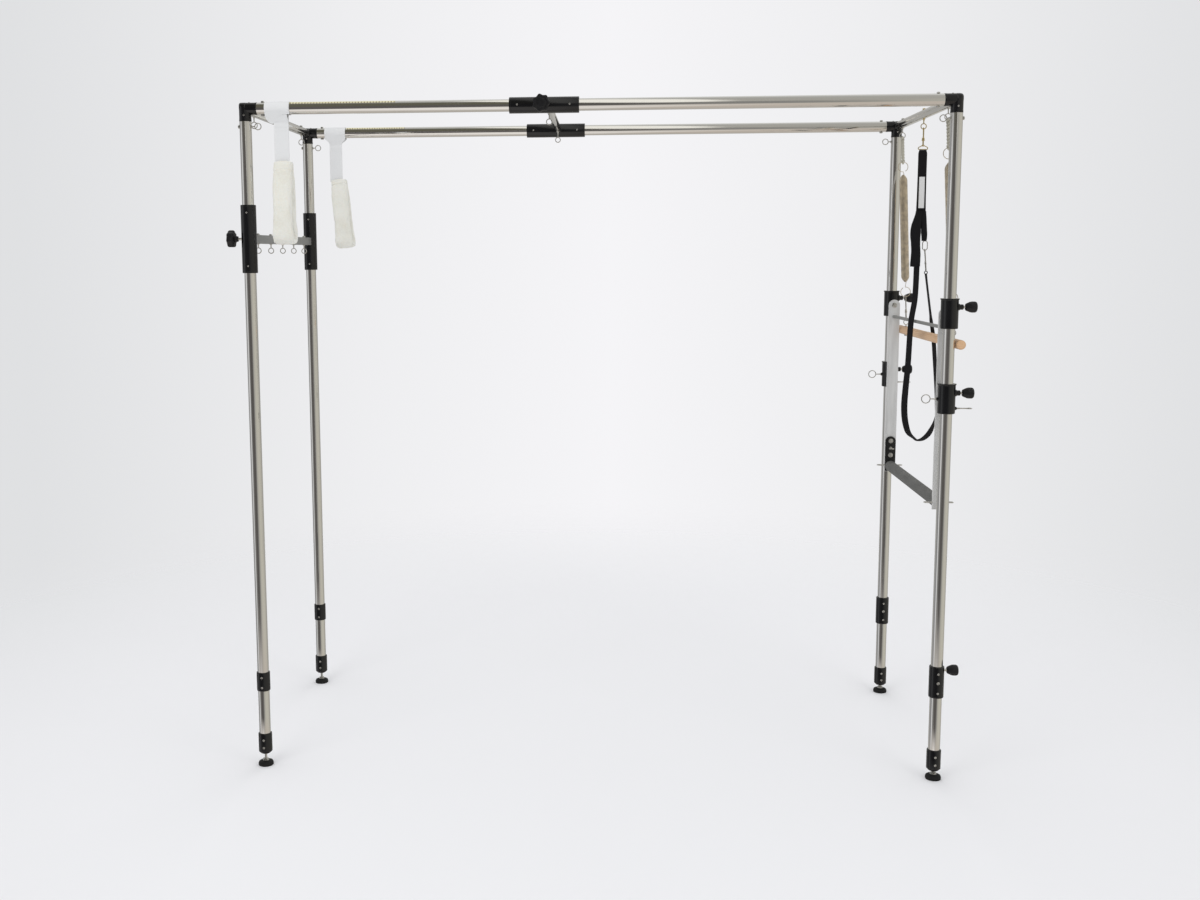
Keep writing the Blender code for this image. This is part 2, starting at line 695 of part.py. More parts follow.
def build_mid_slider():
    half = MID_SLEEVE_LENGTH / 2
    for end, sign_y in ENDS.items():
        sleeve = node(f"mid_sleeve_{end}", placed(tube(MID_SLEEVE_RADIUS, SLEEVE_BORE, -half, half),
                                                  move(MID_SLEEVE_X, sign_y * POST_Y, RAIL_HEIGHT),
                                                  ALONG_X), "black_plastic", MID)
        if end == "front":
            drill(sleeve, placed(knob_hole(MID_SLEEVE_RADIUS),
                                 move(MID_KNOB_X, -POST_Y, RAIL_HEIGHT), ALONG_MINUS_Y))
    tube_part = tube(MID_BAR_RADIUS, MID_BAR_RADIUS - TUBE_WALL, -POST_Y, POST_Y, SMALL_ROUND)
    eye = eyebolt(MID_EYE_DROP - MID_BAR_RADIUS, 2 * MID_BAR_RADIUS, SMALL_EYE_RADIUS, hollow=True)
    eyes = [placed(eye, move(0, sign * MID_EYE_Y, -MID_EYE_DROP)) for sign in (-1, 1)]
    bar = joined(placed(tube_part, ALONG_Y), *eyes)
    here = move(MID_BAR_X, 0, RAIL_HEIGHT)
    cope = rod(MID_SLEEVE_RADIUS + TOUCH_GAP, -2 * MID_BAR_RADIUS, 2 * MID_BAR_RADIUS)
    drill(node("mid_crossbar", placed(bar, here), "chrome", MID),
          *[placed(cope, here, move(0, sign * POST_Y), ALONG_X) for sign in (-1, 1)])
    node("mid_knob", placed(lobed_knob(), move(MID_KNOB_X, -POST_Y, RAIL_HEIGHT), ALONG_MINUS_Y),
         "black_plastic", MID_KNOB)


# Left slider

def build_left_slider():
    for end, sign_y in ENDS.items():
        shell = tube(LEFT_SLEEVE_RADIUS, SLEEVE_BORE, LEFT_SLEEVE_BOTTOM, LEFT_SLEEVE_TOP)
        sleeve = node(f"left_sleeve_{end}", placed(shell, move(-POST_X, sign_y * POST_Y)),
                      "black_plastic", LEFT)
        if end == "front":
            drill(sleeve, placed(knob_hole(LEFT_SLEEVE_RADIUS), move(-POST_X, -POST_Y, LEFT_BAR_Z),
                                 ALONG_MINUS_X))
    eye = eyebolt(LEFT_EYE_DROP - LEFT_BAR_HEIGHT / 2, LEFT_BAR_HEIGHT, SMALL_EYE_RADIUS)
    eyes = []
    for index in range(LEFT_EYE_COUNT):
        y = (index - (LEFT_EYE_COUNT - 1) / 2) * LEFT_EYE_SPACING
        eyes.append(placed(eye, move(0, y, -LEFT_EYE_DROP)))
    bar = joined(box(LEFT_BAR_THICKNESS, 2 * POST_Y, LEFT_BAR_HEIGHT), *eyes)
    here = move(-POST_X, 0, LEFT_BAR_Z)
    cope = rod(LEFT_SLEEVE_RADIUS + TOUCH_GAP, -LEFT_BAR_HEIGHT, LEFT_BAR_HEIGHT)
    drill(node("left_crossbar", placed(bar, here), "grey_paint", LEFT),
          *[placed(cope, here, move(0, sign * POST_Y)) for sign in (-1, 1)])
    node("left_knob", placed(lobed_knob(), move(-POST_X, -POST_Y, LEFT_BAR_Z), ALONG_MINUS_X),
         "black_plastic", LEFT_KNOB)


# Right collars

def collar(bottom, plunger_z, extra):
    """A flanged collar round Z with a boss along +X for its plunger."""
    top = bottom + COLLAR_HEIGHT
    under = top - COLLAR_FLANGE
    shell = turned([(COLLAR_FLANGE_RADIUS, top), (COLLAR_FLANGE_RADIUS, under),
                    (COLLAR_RADIUS, under), (COLLAR_RADIUS, bottom), (SLEEVE_BORE, bottom),
                    (SLEEVE_BORE, top)], closed=True)
    inside = (SLEEVE_BORE + COLLAR_RADIUS) / 2
    boss = placed(rod(BOSS_RADIUS, inside, BOSS_REACH, SMALL_ROUND), move(0, 0, plunger_z),
                  ALONG_X)
    return joined(shell, boss, *extra)


def plunger_bore(plunger_z):
    bore = rod(PULL_NECK_RADIUS + HOLE_GAP, SLEEVE_BORE / 2, BOSS_REACH * 1.2, SMALL_ROUND)
    return placed(bore, move(0, 0, plunger_z), ALONG_X)


def build_upper_collars():
    inside = (SLEEVE_BORE + COLLAR_RADIUS) / 2
    boss = rod(PIVOT_BOSS_RADIUS, inside, POST_Y - ARM_OUTER_Y - TOUCH_GAP, SMALL_ROUND)
    bore = rod(PIVOT_BOLT_RADIUS + RUNNING_GAP, PIVOT_BOLT_END - RUNNING_GAP, POST_Y, 8)
    for end, sign_y in ENDS.items():
        inward = ALONG_MINUS_Y if sign_y > 0 else ALONG_Y
        here = move(POST_X, sign_y * POST_Y)
        pivot = move(0, 0, PIVOT_HEIGHT)
        shape = collar(UPPER_COLLAR_BOTTOM, UPPER_PLUNGER_Z, [placed(boss, pivot, inward)])
        drill(node(f"upper_collar_{end}", placed(shape, here), "black_plastic", CARRIAGE),
              placed(plunger_bore(UPPER_PLUNGER_Z), here), placed(bore, here, pivot, inward))
        body = make_body(f"upper_plunger_{end}", POST_X, sign_y * POST_Y, UPPER_PLUNGER_Z, CARRIAGE)
        node(f"upper_plunger_{end}", placed(pull_knob(BOSS_REACH), here, move(0, 0, UPPER_PLUNGER_Z),
                                            ALONG_X), "black_plastic", body)


def build_lower_collars():
    inner_eye = eyebolt(INNER_COLLAR_EYE_REACH - COLLAR_RADIUS, ring_radius=COLLAR_EYE_RADIUS)
    outer_eye = eyebolt(OUTER_COLLAR_EYE_REACH - COLLAR_RADIUS, ring_radius=SMALL_EYE_RADIUS)
    eyes = [placed(inner_eye, move(-INNER_COLLAR_EYE_REACH, 0, INNER_COLLAR_EYE_Z), ALONG_X),
            placed(outer_eye, move(OUTER_COLLAR_EYE_REACH, 0, OUTER_COLLAR_EYE_Z), ALONG_MINUS_X,
                   QUARTER_TURN)]
    shape = collar(LOWER_COLLAR_BOTTOM, LOWER_PLUNGER_Z, eyes)
    for end, sign_y in ENDS.items():
        body = make_body(f"lower_collar_{end}", POST_X, sign_y * POST_Y, LOWER_COLLAR_BOTTOM, ROOT)
        here = move(POST_X, sign_y * POST_Y)
        drill(node(f"lower_collar_{end}", placed(shape, here), "black_plastic", body),
              placed(plunger_bore(LOWER_PLUNGER_Z), here))
        plunger = make_body(f"lower_plunger_{end}", POST_X, sign_y * POST_Y, LOWER_PLUNGER_Z, body)
        node(f"lower_plunger_{end}", placed(pull_knob(BOSS_REACH), here, move(0, 0, LOWER_PLUNGER_Z),
                                            ALONG_X), "black_plastic", plunger)


# Push-through bar

def push_arm():
    """One flat arm with its pivot bolt, nuts and edge eyes, its inner face at Y zero, for +Y."""
    half = ARM_WIDTH / 2
    outline = [(-half, ARM_BOTTOM), (half, ARM_BOTTOM)]
    outline += arc(0, PIVOT_HEIGHT, half, 0, 180, 7)
    middle = ARM_THICKNESS / 2
    flat = placed(plate([outline], ARM_THICKNESS), move(0, middle), ALONG_MINUS_Y)
    bolt_end = POST_Y - ARM_INNER_Y - PIVOT_BOLT_END
    pivot = turned([(0, bolt_end), (PIVOT_BOLT_RADIUS, bolt_end), (PIVOT_BOLT_RADIUS, SINK),
                    (PIVOT_HEAD_RADIUS, SINK), (PIVOT_HEAD_RADIUS, -PIVOT_HEAD_HEIGHT),
                    (0, -PIVOT_HEAD_HEIGHT)], 8)
    pieces = [placed(pivot, move(0, 0, PIVOT_HEIGHT), ALONG_Y)]
    for z in (*BRACKET_BOLT_Z, BRACKET_EYE_Z):
        pieces.append(placed(nut_on(ARM_THICKNESS), move(0, 0, z), ALONG_Y))
    eye = eyebolt(ARM_EYE_REACH - half, ring_radius=SMALL_EYE_RADIUS)
    for sign in (-1, 1):
        inward = ALONG_MINUS_X if sign > 0 else ALONG_X
        pieces.append(placed(eye, move(sign * ARM_EYE_REACH, middle, ARM_EYE_Z), inward,
                             QUARTER_TURN))
    return joined(flat, *pieces)


def grip_bracket():
    """One end bracket with its bolt heads and eye, its inner face at Y zero, for +Y."""
    half = BRACKET_WIDTH / 2
    outline = [(-half, BRACKET_BOTTOM), (half, BRACKET_BOTTOM)]
    outline += arc(0, BRACKET_TOP - half, half, 0, 180, 6)
    flat = placed(plate([outline], BRACKET_THICKNESS), move(0, BRACKET_THICKNESS / 2),
                  ALONG_MINUS_Y)
    eye = eyebolt(BRACKET_EYE_REACH, ring_radius=SMALL_EYE_RADIUS)
    pieces = [placed(eye, move(0, -BRACKET_EYE_REACH, BRACKET_EYE_Z), ALONG_Y)]
    for z in BRACKET_BOLT_Z:
        pieces.append(placed(nut_on(0.0), move(0, 0, z), ALONG_MINUS_Y))
    return joined(flat, *pieces)


def build_push_bar():
    arm = push_arm()
    bracket = grip_bracket()
    for end, sign_y in ENDS.items():
        turn = Matrix.Identity(4) if sign_y > 0 else Matrix.Rotation(pi, 4, "Z")
        node(f"push_arm_{end}", placed(arm, move(POST_X), turn, move(0, ARM_INNER_Y)),
             "arm_paint", PUSH)
        node(f"grip_bracket_{end}", placed(bracket, move(POST_X), turn, move(0, BRACKET_INNER_Y)),
             "black_plastic", PUSH)
    bar_length = 2 * (ARM_INNER_Y - TOUCH_GAP)
    node("push_crossbar", placed(box(PUSH_CROSSBAR_WIDTH, bar_length, PUSH_CROSSBAR_HEIGHT),
                                 move(POST_X, 0, PUSH_CROSSBAR_Z)), "grey_paint", PUSH)
    half_grip = BRACKET_INNER_Y - TOUCH_GAP
    node("push_grip", placed(rod(GRIP_RADIUS, -half_grip, half_grip), move(POST_X, 0, GRIP_Z),
                             ALONG_Y), "grip_grey", PUSH)


# Roll-down bar

def link(top, bottom, snap_radius, wire_radius=LINK_WIRE):
    """A long wire link in the YZ plane with a snap body round its middle."""
    half = LINK_HALF_WIDTH
    route = [(0, y, z) for y, z in arc(0, top - half, half, 0, 180, 5)]
    route += [(0, y, z) for y, z in arc(0, bottom + half, half, 180, 360, 5)]
    length = top - bottom
    middle = (top + bottom) / 2
    quarter = length * 0.22
    body = turned([(0, middle + quarter), (snap_radius * 0.7, middle + quarter),
                   (snap_radius, middle + quarter * 0.5), (snap_radius, middle - quarter * 0.5),
                   (snap_radius * 0.7, middle - quarter), (0, middle - quarter)], 8)
    return joined(wire(route, wire_radius, cyclic=True), body)


def spring_path():
    """The middle line of a spring hanging along -Z, with a wire loop at each end."""
    def end_loop(centre, sign):
        start = -55.0
        angles = [start + (270.0 - start) * step / LOOP_STEPS for step in range(LOOP_STEPS + 1)]
        return [Vector((sign * LOOP_RADIUS * cos(radians(a)), 0.0,
                        -centre + sign * LOOP_RADIUS * sin(radians(a)))) for a in angles]

    points = end_loop(TOP_LOOP_CENTRE, 1)
    steps = SPRING_CURLS * POINTS_PER_CURL
    for step in range(steps + 1):
        turn = step / POINTS_PER_CURL
        nearest_end = min(turn, SPRING_CURLS - turn)
        radius = SPRING_RADIUS * min(1.0, 0.30 + 0.45 * nearest_end)
        angle = 2 * pi * turn
        drop = SPRING_TOP + (SPRING_BOTTOM - SPRING_TOP) * step / steps
        points.append(Vector((radius * cos(angle), radius * sin(angle), -drop)))
    points += end_loop(BOTTOM_LOOP_CENTRE, -1)[::-1]
    return points


def least_self_gap(points, radius):
    """The least distance between parts of the wire that aren't neighbours, less its diameter."""
    samples = []
    travelled = 0.0
    for first, second in zip(points, points[1:]):
        for part in range(4):
            samples.append((travelled + (second - first).length * part / 4,
                            first.lerp(second, part / 4)))
        travelled += (second - first).length
    least = 1.0
    for index, (along, point) in enumerate(samples):
        for further, other in samples[index + 1:index + 160]:
            if further - along > 12 * radius:
                least = min(least, (other - point).length)
    return least - 2 * radius


def hanging_frame(sign_y):
    """The place and direction of one hanging spring, from the end bar's eye to the bar's eye."""
    top = Vector((POST_X, sign_y * BAR_EYE_Y, SPRING_TOP_Z))
    bottom = Vector((DOWEL_X, sign_y * DOWEL_EYE_Y, DOWEL_Z + DOWEL_EYE_RISE))
    axis_z = (top - bottom).normalized()
    axis_y = axis_z.cross(Vector((1, 0, 0))).normalized()
    axis_x = axis_y.cross(axis_z)
    turn = Matrix((axis_x, axis_y, axis_z)).transposed().to_4x4()
    return Matrix.Translation(top) @ turn, (top - bottom).length


def build_roll_bar():
    half = DOWEL_LENGTH / 2
    edge = DOWEL_RADIUS * 0.4
    dowel = turned([(0, half), (DOWEL_RADIUS - edge, half), (DOWEL_RADIUS, half - edge),
                    (DOWEL_RADIUS, -half + edge), (DOWEL_RADIUS - edge, -half), (0, -half)])
    eye = placed(eyebolt(DOWEL_EYE_RISE - DOWEL_RADIUS, 2 * DOWEL_RADIUS, SMALL_EYE_RADIUS),
                 UPSIDE_DOWN)
    eyes = [placed(eye, move(0, sign * DOWEL_EYE_Y, DOWEL_EYE_RISE)) for sign in (-1, 1)]
    node("roll_bar", placed(joined(placed(dowel, ALONG_Y), *eyes), move(DOWEL_X, 0, DOWEL_Z)),
         "wood", ROLL)

    path = spring_path()
    print("spring: least gap to itself", round(least_self_gap(path, SPRING_WIRE) * 1000, 2), "mm")
    spring = wire(path, SPRING_WIRE, resolution=1)
    rest = LINK_WIRE + LINK_GAP
    upper_top = -(EYE_RADIUS - EYE_WIRE - rest)
    upper_bottom = -(TOP_LOOP_CENTRE - LOOP_RADIUS + SPRING_WIRE + rest)
    for end, sign_y in ENDS.items():
        hang, length = hanging_frame(sign_y)
        lower_top = -(BOTTOM_LOOP_CENTRE + LOOP_RADIUS - SPRING_WIRE - rest)
        lower_bottom = -(length - SMALL_EYE_RADIUS + EYE_WIRE + rest)
        node(f"spring_{end}", placed(spring, hang), "spring_steel", HANGER)
        node(f"upper_snap_{end}", placed(link(upper_top, upper_bottom, UPPER_SNAP_RADIUS), hang),
             "steel", HANGER)
        node(f"lower_snap_{end}", placed(link(lower_top, lower_bottom, LOWER_SNAP_RADIUS), hang),
             "steel", ROLL)


# Safety strap

def ribbon(sections, width, thickness):
    """A flat strap lofted through centre points, each with its own width direction.

    A section is a point's X and Z, and the angle in degrees of its width away from Y towards X.
    """
    mesh = bpy.data.meshes.new("ribbon")
    bm = bmesh.new()
    centres = [Vector((x, 0.0, z)) for x, z, _ in sections]
    rings = []
    for index, (x, z, angle) in enumerate(sections):
        before = centres[max(index - 1, 0)]
        after = centres[min(index + 1, len(centres) - 1)]
        along = (after - before).normalized()
        level = along.cross(Vector((0, 1, 0))).normalized()
        across = Vector((0, 1, 0)) * cos(radians(angle)) + level * sin(radians(angle))
        normal = along.cross(across).normalized()
        corners = [(-1, -1), (1, -1), (1, 1), (-1, 1)]
        rings.append([bm.verts.new(centres[index] + across * (u * width / 2)
                                   + normal * (v * thickness / 2)) for u, v in corners])
    for first, second in zip(rings, rings[1:]):
        for corner in range(4):
            following = (corner + 1) % 4
            bm.faces.new((first[corner], first[following], second[following], second[corner]))
    bm.faces.new(rings[0])
    bm.faces.new(rings[-1])
    bmesh.ops.triangulate(bm, faces=bm.faces)
    bmesh.ops.recalc_face_normals(bm, faces=bm.faces)
    bm.to_mesh(mesh)
    bm.free()
    return mesh


def smooth_route(points, steps):
    """Points on a smooth curve through the given ones, with every value blended alike."""
    result = []
    count = len(points)
    for index in range(count - 1):
        previous = points[max(index - 1, 0)]
        start = points[index]
        end = points[index + 1]
        following = points[min(index + 2, count - 1)]
        for step in range(steps):
            t = step / steps
            blend = []
            for a, b, c, d in zip(previous, start, end, following):
                blend.append(0.5 * (2 * b + (c - a) * t + (2 * a - 5 * b + 4 * c - d) * t ** 2
                                    + (3 * b - 3 * c + d - a) * t ** 3))
            result.append(tuple(blend))
    result.append(tuple(points[-1]))
    return result


def build_safety_strap():
    """Webbing from the brass eye through a folded pad and round in a long loop, sewn in one."""
    # Places along the loop: X from the posts' middle, Z, and how far its width turns towards X
    ring = Vector((SIDE_RING_X, 0.0, SIDE_RING_Z))
    loop_points = [
        (SIDE_RING_X, SIDE_RING_Z - SIDE_RING_RADIUS, 0),
        (POST_X + 0.030, SIDE_RING_Z - 0.041, 0),
        (POST_X + 0.0485, SIDE_RING_Z - 0.169, 0),
        (POST_X + 0.0590, SIDE_RING_Z - 0.231, 0),
        (POST_X + 0.0650, SIDE_RING_Z - 0.291, 0),
        (POST_X + 0.0770, SIDE_RING_Z - 0.491, 0),
        (POST_X + 0.0600, SIDE_RING_Z - 0.581, 0),
        (POST_X + 0.0170, SIDE_RING_Z - 0.614, 5),
        (POST_X - 0.0240, SIDE_RING_Z - 0.576, 18),
        (POST_X - 0.0370, SIDE_RING_Z - 0.491, 34),
        (POST_X - 0.0285, SIDE_RING_Z - 0.333, 43),
        (POST_X - 0.0230, SIDE_RING_Z - 0.186, 43),
        (POST_X - 0.0110, SIDE_RING_Z - 0.091, 43),
        (POST_X - 0.0085, PAD_BOTTOM + SEAM, 43),
    ]
    loop = ribbon(smooth_route(loop_points, 2), LOWER_STRAP_WIDTH, STRAP_THICKNESS)
    top_points = [(POST_X, STRAP_TOP, 90), (POST_X, (STRAP_TOP + PAD_TOP) / 2, 90),
                  (POST_X, PAD_TOP - SEAM, 90)]
    top_strap = ribbon(top_points, STRAP_WIDTH, 2 * STRAP_THICKNESS)
    # The pad's outline: X from the posts' middle and how far below its top
    outline = [(0.0190, 0.0), (-0.0180, 0.0), (-0.0240, 0.020), (-0.0330, 0.053),
               (-0.0350, 0.073), (-0.0320, 0.110), (-0.0295, 0.150), (-0.0330, 0.190),
               (-0.0320, PAD_LENGTH), (0.0035, PAD_LENGTH), (0.0045, 0.150),
               (0.0060, PAD_LOBE_LENGTH), (0.0225, PAD_LOBE_LENGTH), (0.0252, 0.095),
               (0.0230, 0.050), (0.0205, 0.015)]
    outline = [(x, PAD_TOP - drop) for x, drop in outline]
    pad = placed(plate([outline], PAD_THICKNESS, 0.004), move(POST_X), ALONG_MINUS_Y)

    oval = [(x, 0, z) for x, z in arc(0, PAD_LOBE_BOTTOM - OVAL_HALF, OVAL_HALF, 0, 180, 6)]
    oval += [(x, 0, z) for x, z in arc(0, OVAL_BOTTOM + OVAL_HALF, OVAL_HALF, 180, 360, 6)]
    oval_ring = placed(wire(oval, EYE_WIRE, cyclic=True), move(OVAL_X))
    circle = [(x, 0, z) for x, z in arc(0, 0, SIDE_RING_RADIUS, 0, 324, 9)]
    small_ring = placed(wire(circle, EYE_WIRE, cyclic=True), move(*ring))
    low = SIDE_RING_Z + SIDE_RING_RADIUS
    lean = Matrix.Shear("XY", 4, ((OVAL_X - SIDE_RING_X) / (OVAL_BOTTOM - low), 0.0))
    side_snap = placed(link(OVAL_BOTTOM - low, 0.0, SIDE_SNAP_RADIUS),
                       move(SIDE_RING_X, 0, low), lean)
    node("safety_strap", joined(pad, top_strap, loop, oval_ring, side_snap, small_ring),
         "webbing_black", STRAP)

    dee_z = STRAP_TOP + TOUCH_GAP + EYE_WIRE
    crown = DEE_HALF_WIDTH * 0.42
    dee = [(-DEE_HALF_WIDTH, 0, 0), (-DEE_HALF_WIDTH, 0, DEE_HEIGHT * 0.45)]
    dee += [(x, 0, z) for x, z in arc(0, DEE_HEIGHT - crown, crown, 150, 30, 4)]
    dee += [(DEE_HALF_WIDTH, 0, DEE_HEIGHT * 0.45), (DEE_HALF_WIDTH, 0, 0)]
    dee_ring = placed(wire(dee, EYE_WIRE, cyclic=True), move(POST_X, 0, dee_z))
    snap_top = STRAP_EYE_Z - SMALL_EYE_RADIUS + EYE_WIRE + LINK_WIRE + LINK_GAP
    snap = placed(link(snap_top, dee_z + DEE_HEIGHT, TOP_SNAP_RADIUS), move(POST_X))
    node("strap_snap", joined(dee_ring, snap), "brass", STRAP)


# Padded loops

def teardrop(width, length, top_radius, steps):
    """A hanging loop's outline, round at the top and rounder at the bottom, its top at the origin."""
    radius = width / 2
    outline = arc(0, -top_radius, top_radius, 10, 170, 8)
    outline += [(-radius * 0.70, -length * 0.25), (-radius * 0.95, -length * 0.50)]
    outline += arc(0, -length + radius, radius, 180, 360, steps)
    outline += [(radius * 0.95, -length * 0.50), (radius * 0.70, -length * 0.25)]
    return outline


def fleece_pivot(end):
    """The X and Z of the line that a leaning fleece swings about, under its strap's bottom edge."""
    lean = radians(FLEECE_LEAN[end])
    strap_edge = LOOP_STRAP_X[end] + LOOP_STRAP_WIDTH / 2 - FLEECE_X[end]
    top = STRAP_BOTTOM[end] - TOUCH_GAP / cos(lean) - strap_edge * tan(lean)
    return FLEECE_X[end] + FLEECE_TOP_RADIUS * sin(lean), top - FLEECE_TOP_RADIUS * cos(lean)


def build_padded_loops():
    band_outer = SLEEVE_BORE + LOOP_BAND_THICKNESS
    half_band = LOOP_BAND_WIDTH / 2
    band = placed(tube(band_outer, SLEEVE_BORE, -half_band, half_band), ALONG_X)
    strap_high = RAIL_HEIGHT - (SLEEVE_BORE + band_outer) / 2
    outer = teardrop(FLEECE_DEPTH, FLEECE_LENGTH, FLEECE_TOP_RADIUS, 8)
    inner_length = FLEECE_LENGTH - FLEECE_TOP_THICKNESS - FLEECE_THICKNESS
    inner = teardrop(FLEECE_DEPTH - 2 * FLEECE_THICKNESS, inner_length, FLEECE_HOLE_TOP_RADIUS, 6)
    inner = [(u, v - FLEECE_TOP_THICKNESS) for u, v in inner]
    loop = plate([outer, inner[::-1]], FLEECE_WIDTH, FLEECE_CHAMFER)
    stand = Matrix(((0, 0, 1, 0), (1, 0, 0, 0), (0, 1, 0, 0), (0, 0, 0, 1)))
    for end, sign_y in ENDS.items():
        y = sign_y * POST_Y
        body = make_body(f"loop_{end}", LOOP_STRAP_X[end], y, RAIL_HEIGHT, ROOT)
        strap = placed(box(LOOP_STRAP_WIDTH, LOOP_STRAP_THICKNESS, strap_high - STRAP_BOTTOM[end]),
                       move(LOOP_STRAP_X[end], y, (strap_high + STRAP_BOTTOM[end]) / 2))
        hung_band = placed(band, move(LOOP_X[end], y, RAIL_HEIGHT))
        node(f"loop_strap_{end}", joined(hung_band, strap), "webbing_white", body)
        pivot_x, pivot_z = fleece_pivot(end)
        fleece_body = make_body(f"fleece_{end}", pivot_x, y, pivot_z, body)
        lean = Matrix.Rotation(-radians(FLEECE_LEAN[end]), 4, "Y")
        node(f"fleece_{end}", placed(loop, move(pivot_x, y, pivot_z), lean,
                                     move(0, 0, FLEECE_TOP_RADIUS), stand), "fleece", fleece_body)


def build_leg_knob():
    place = move(POST_X, -POST_Y, LEG_KNOB_HEIGHT)
    knob = pull_knob(COUPLING_RADIUS["right"] + 0.002, KNOB_STEM_RADIUS)
    node("leg_knob", placed(knob, place, ALONG_X), "black_plastic", LEG_KNOB)


build_posts()
build_rails()
build_end_bars()
build_elbows()
build_legs()
build_feet()
build_mid_slider()
build_left_slider()
build_upper_collars()
build_lower_collars()
build_push_bar()
build_roll_bar()
build_safety_strap()
build_padded_loops()
build_leg_knob()
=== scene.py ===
"""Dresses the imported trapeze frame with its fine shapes, materials, light and camera.

X runs along the frame's length, Y across it, away from the camera, and Z up, all in metres.
Each piece is made in world coordinates and then rides on one of the frame's bodies.
"""

from math import acos, copysign, cos, pi, radians, sin

import bmesh
import bpy
from mathutils import Matrix, Vector, noise


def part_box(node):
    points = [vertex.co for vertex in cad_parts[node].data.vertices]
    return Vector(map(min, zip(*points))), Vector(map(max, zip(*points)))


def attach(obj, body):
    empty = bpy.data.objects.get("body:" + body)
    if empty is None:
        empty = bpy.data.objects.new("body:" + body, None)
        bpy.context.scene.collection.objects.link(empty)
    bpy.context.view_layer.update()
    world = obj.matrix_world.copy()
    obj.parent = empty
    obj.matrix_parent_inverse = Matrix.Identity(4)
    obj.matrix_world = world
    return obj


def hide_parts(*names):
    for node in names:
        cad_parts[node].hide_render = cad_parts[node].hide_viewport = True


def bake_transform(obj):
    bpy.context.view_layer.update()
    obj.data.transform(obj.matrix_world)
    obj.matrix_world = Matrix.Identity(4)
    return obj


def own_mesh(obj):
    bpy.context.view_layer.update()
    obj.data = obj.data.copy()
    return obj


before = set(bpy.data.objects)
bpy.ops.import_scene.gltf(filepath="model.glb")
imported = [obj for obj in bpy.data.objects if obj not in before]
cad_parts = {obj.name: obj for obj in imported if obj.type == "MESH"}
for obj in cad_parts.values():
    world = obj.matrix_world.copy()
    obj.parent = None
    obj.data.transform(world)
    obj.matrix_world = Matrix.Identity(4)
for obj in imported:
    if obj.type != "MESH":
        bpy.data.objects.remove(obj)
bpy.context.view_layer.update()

# Places read from the frame
SIDES = {"left": -1, "right": 1}
ENDS = {"front": -1, "rear": 1}
CORNERS = [(end, side) for end in ENDS for side in SIDES]


def middle(node):
    low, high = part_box(node)
    return (low + high) / 2


def move(x=0.0, y=0.0, z=0.0):
    return Matrix.Translation((x, y, z))


def up(z):
    return move(0, 0, z)


POST_X = {side: middle(f"coupling_front_{side}").x for side in SIDES}
POST_Y = {end: middle(f"coupling_{end}_left").y for end in ENDS}
MID_Y = (POST_Y["front"] + POST_Y["rear"]) / 2
RAIL_Z = middle("mid_sleeve_front").z
RIGHT_X = POST_X["right"]

# Heights and reaches that the frame's boxes don't show
POST_EYE_Z = 2.2345
POST_EYE_REACH = 0.042
RAIL_BOLT_INSET = 0.060
BAR_EYE_Y = 0.335
BAR_EYE_DROP = 0.044
STRAP_EYE_DROP = 0.042
MID_EYE_Y = 0.345
MID_EYE_DROP = 0.045
LEFT_BAR_Z = 1.861
LEFT_EYE_DROP = 0.039
LEFT_EYE_STEP = 0.165
PIVOT_Z = 1.5975
LEG_KNOB_Z = 0.388

# Sizes of the tubes, and the gap left round them
TUBE_RADIUS = 0.020
END_BAR_RADIUS = 0.016
MID_BAR_RADIUS = 0.0125
FEATHER = 0.0004

# Eyebolts and nuts
EYE_WIRE = 0.0016
EYE_RADIUS = 0.0107
SMALL_EYE_RADIUS = 0.0094
COLLAR_EYE_RADIUS = 0.0140
NUT_RADIUS = 0.0062
SMALL_NUT_RADIUS = 0.0056
LOW_NUT_RADIUS = 0.0058
NUT_HEIGHT = 0.006

X_WAY = Vector((1, 0, 0))
Y_WAY = Vector((0, 1, 0))
ALONG_X = Matrix.Rotation(pi / 2, 4, "Y")
ALONG_Y = Matrix.Rotation(-pi / 2, 4, "X")
ALONG_MINUS_X = Matrix.Rotation(-pi / 2, 4, "Y")
ALONG_MINUS_Y = Matrix.Rotation(pi / 2, 4, "X")
UPSIDE_DOWN = Matrix.Rotation(pi, 4, "X")
QUARTER_TURN = Matrix.Rotation(pi / 2, 4, "Z")
NO_TURN = Matrix.Identity(4)


# Camera

CAMERA_PLACE = Vector((0.0526, -4.7002, 1.8053))
CAMERA_PITCH = radians(7.151)
CAMERA_YAW = radians(-3.807)
CAMERA_ROLL = radians(-0.309)
CAMERA_SETTINGS = {"sensor_width": 36.0, "lens": 38.08, "shift_x": 0.060, "shift_y": -0.0306,
                   "clip_end": 100.0}


def added(name, data):
    """A new object in the scene."""
    obj = bpy.data.objects.new(name, data)
    bpy.context.scene.collection.objects.link(obj)
    return obj


def make_camera():
    forward = Vector((sin(CAMERA_YAW) * cos(CAMERA_PITCH), cos(CAMERA_YAW) * cos(CAMERA_PITCH),
                      -sin(CAMERA_PITCH)))
    level = Vector((cos(CAMERA_YAW), -sin(CAMERA_YAW), 0))
    upright = level.cross(forward)
    right = level * cos(CAMERA_ROLL) + upright * sin(CAMERA_ROLL)
    up = upright * cos(CAMERA_ROLL) - level * sin(CAMERA_ROLL)
    data = bpy.data.cameras.new("camera")
    for name, value in CAMERA_SETTINGS.items():
        setattr(data, name, value)
    camera = added("camera", data)
    turn = Matrix((right, up, -forward)).transposed().to_4x4()
    camera.matrix_world = Matrix.Translation(CAMERA_PLACE) @ turn
    bpy.context.scene.camera = camera


# Materials

# The length of one wave of Blender's bands at scale 1, straight and diagonal
STRAIGHT_PERIOD = 2 * pi / 20
DIAGONAL_PERIOD = 2 * pi / 10

EVEN = (1.0, 1.0, 1.0)
SPECULAR = "Specular IOR Level"


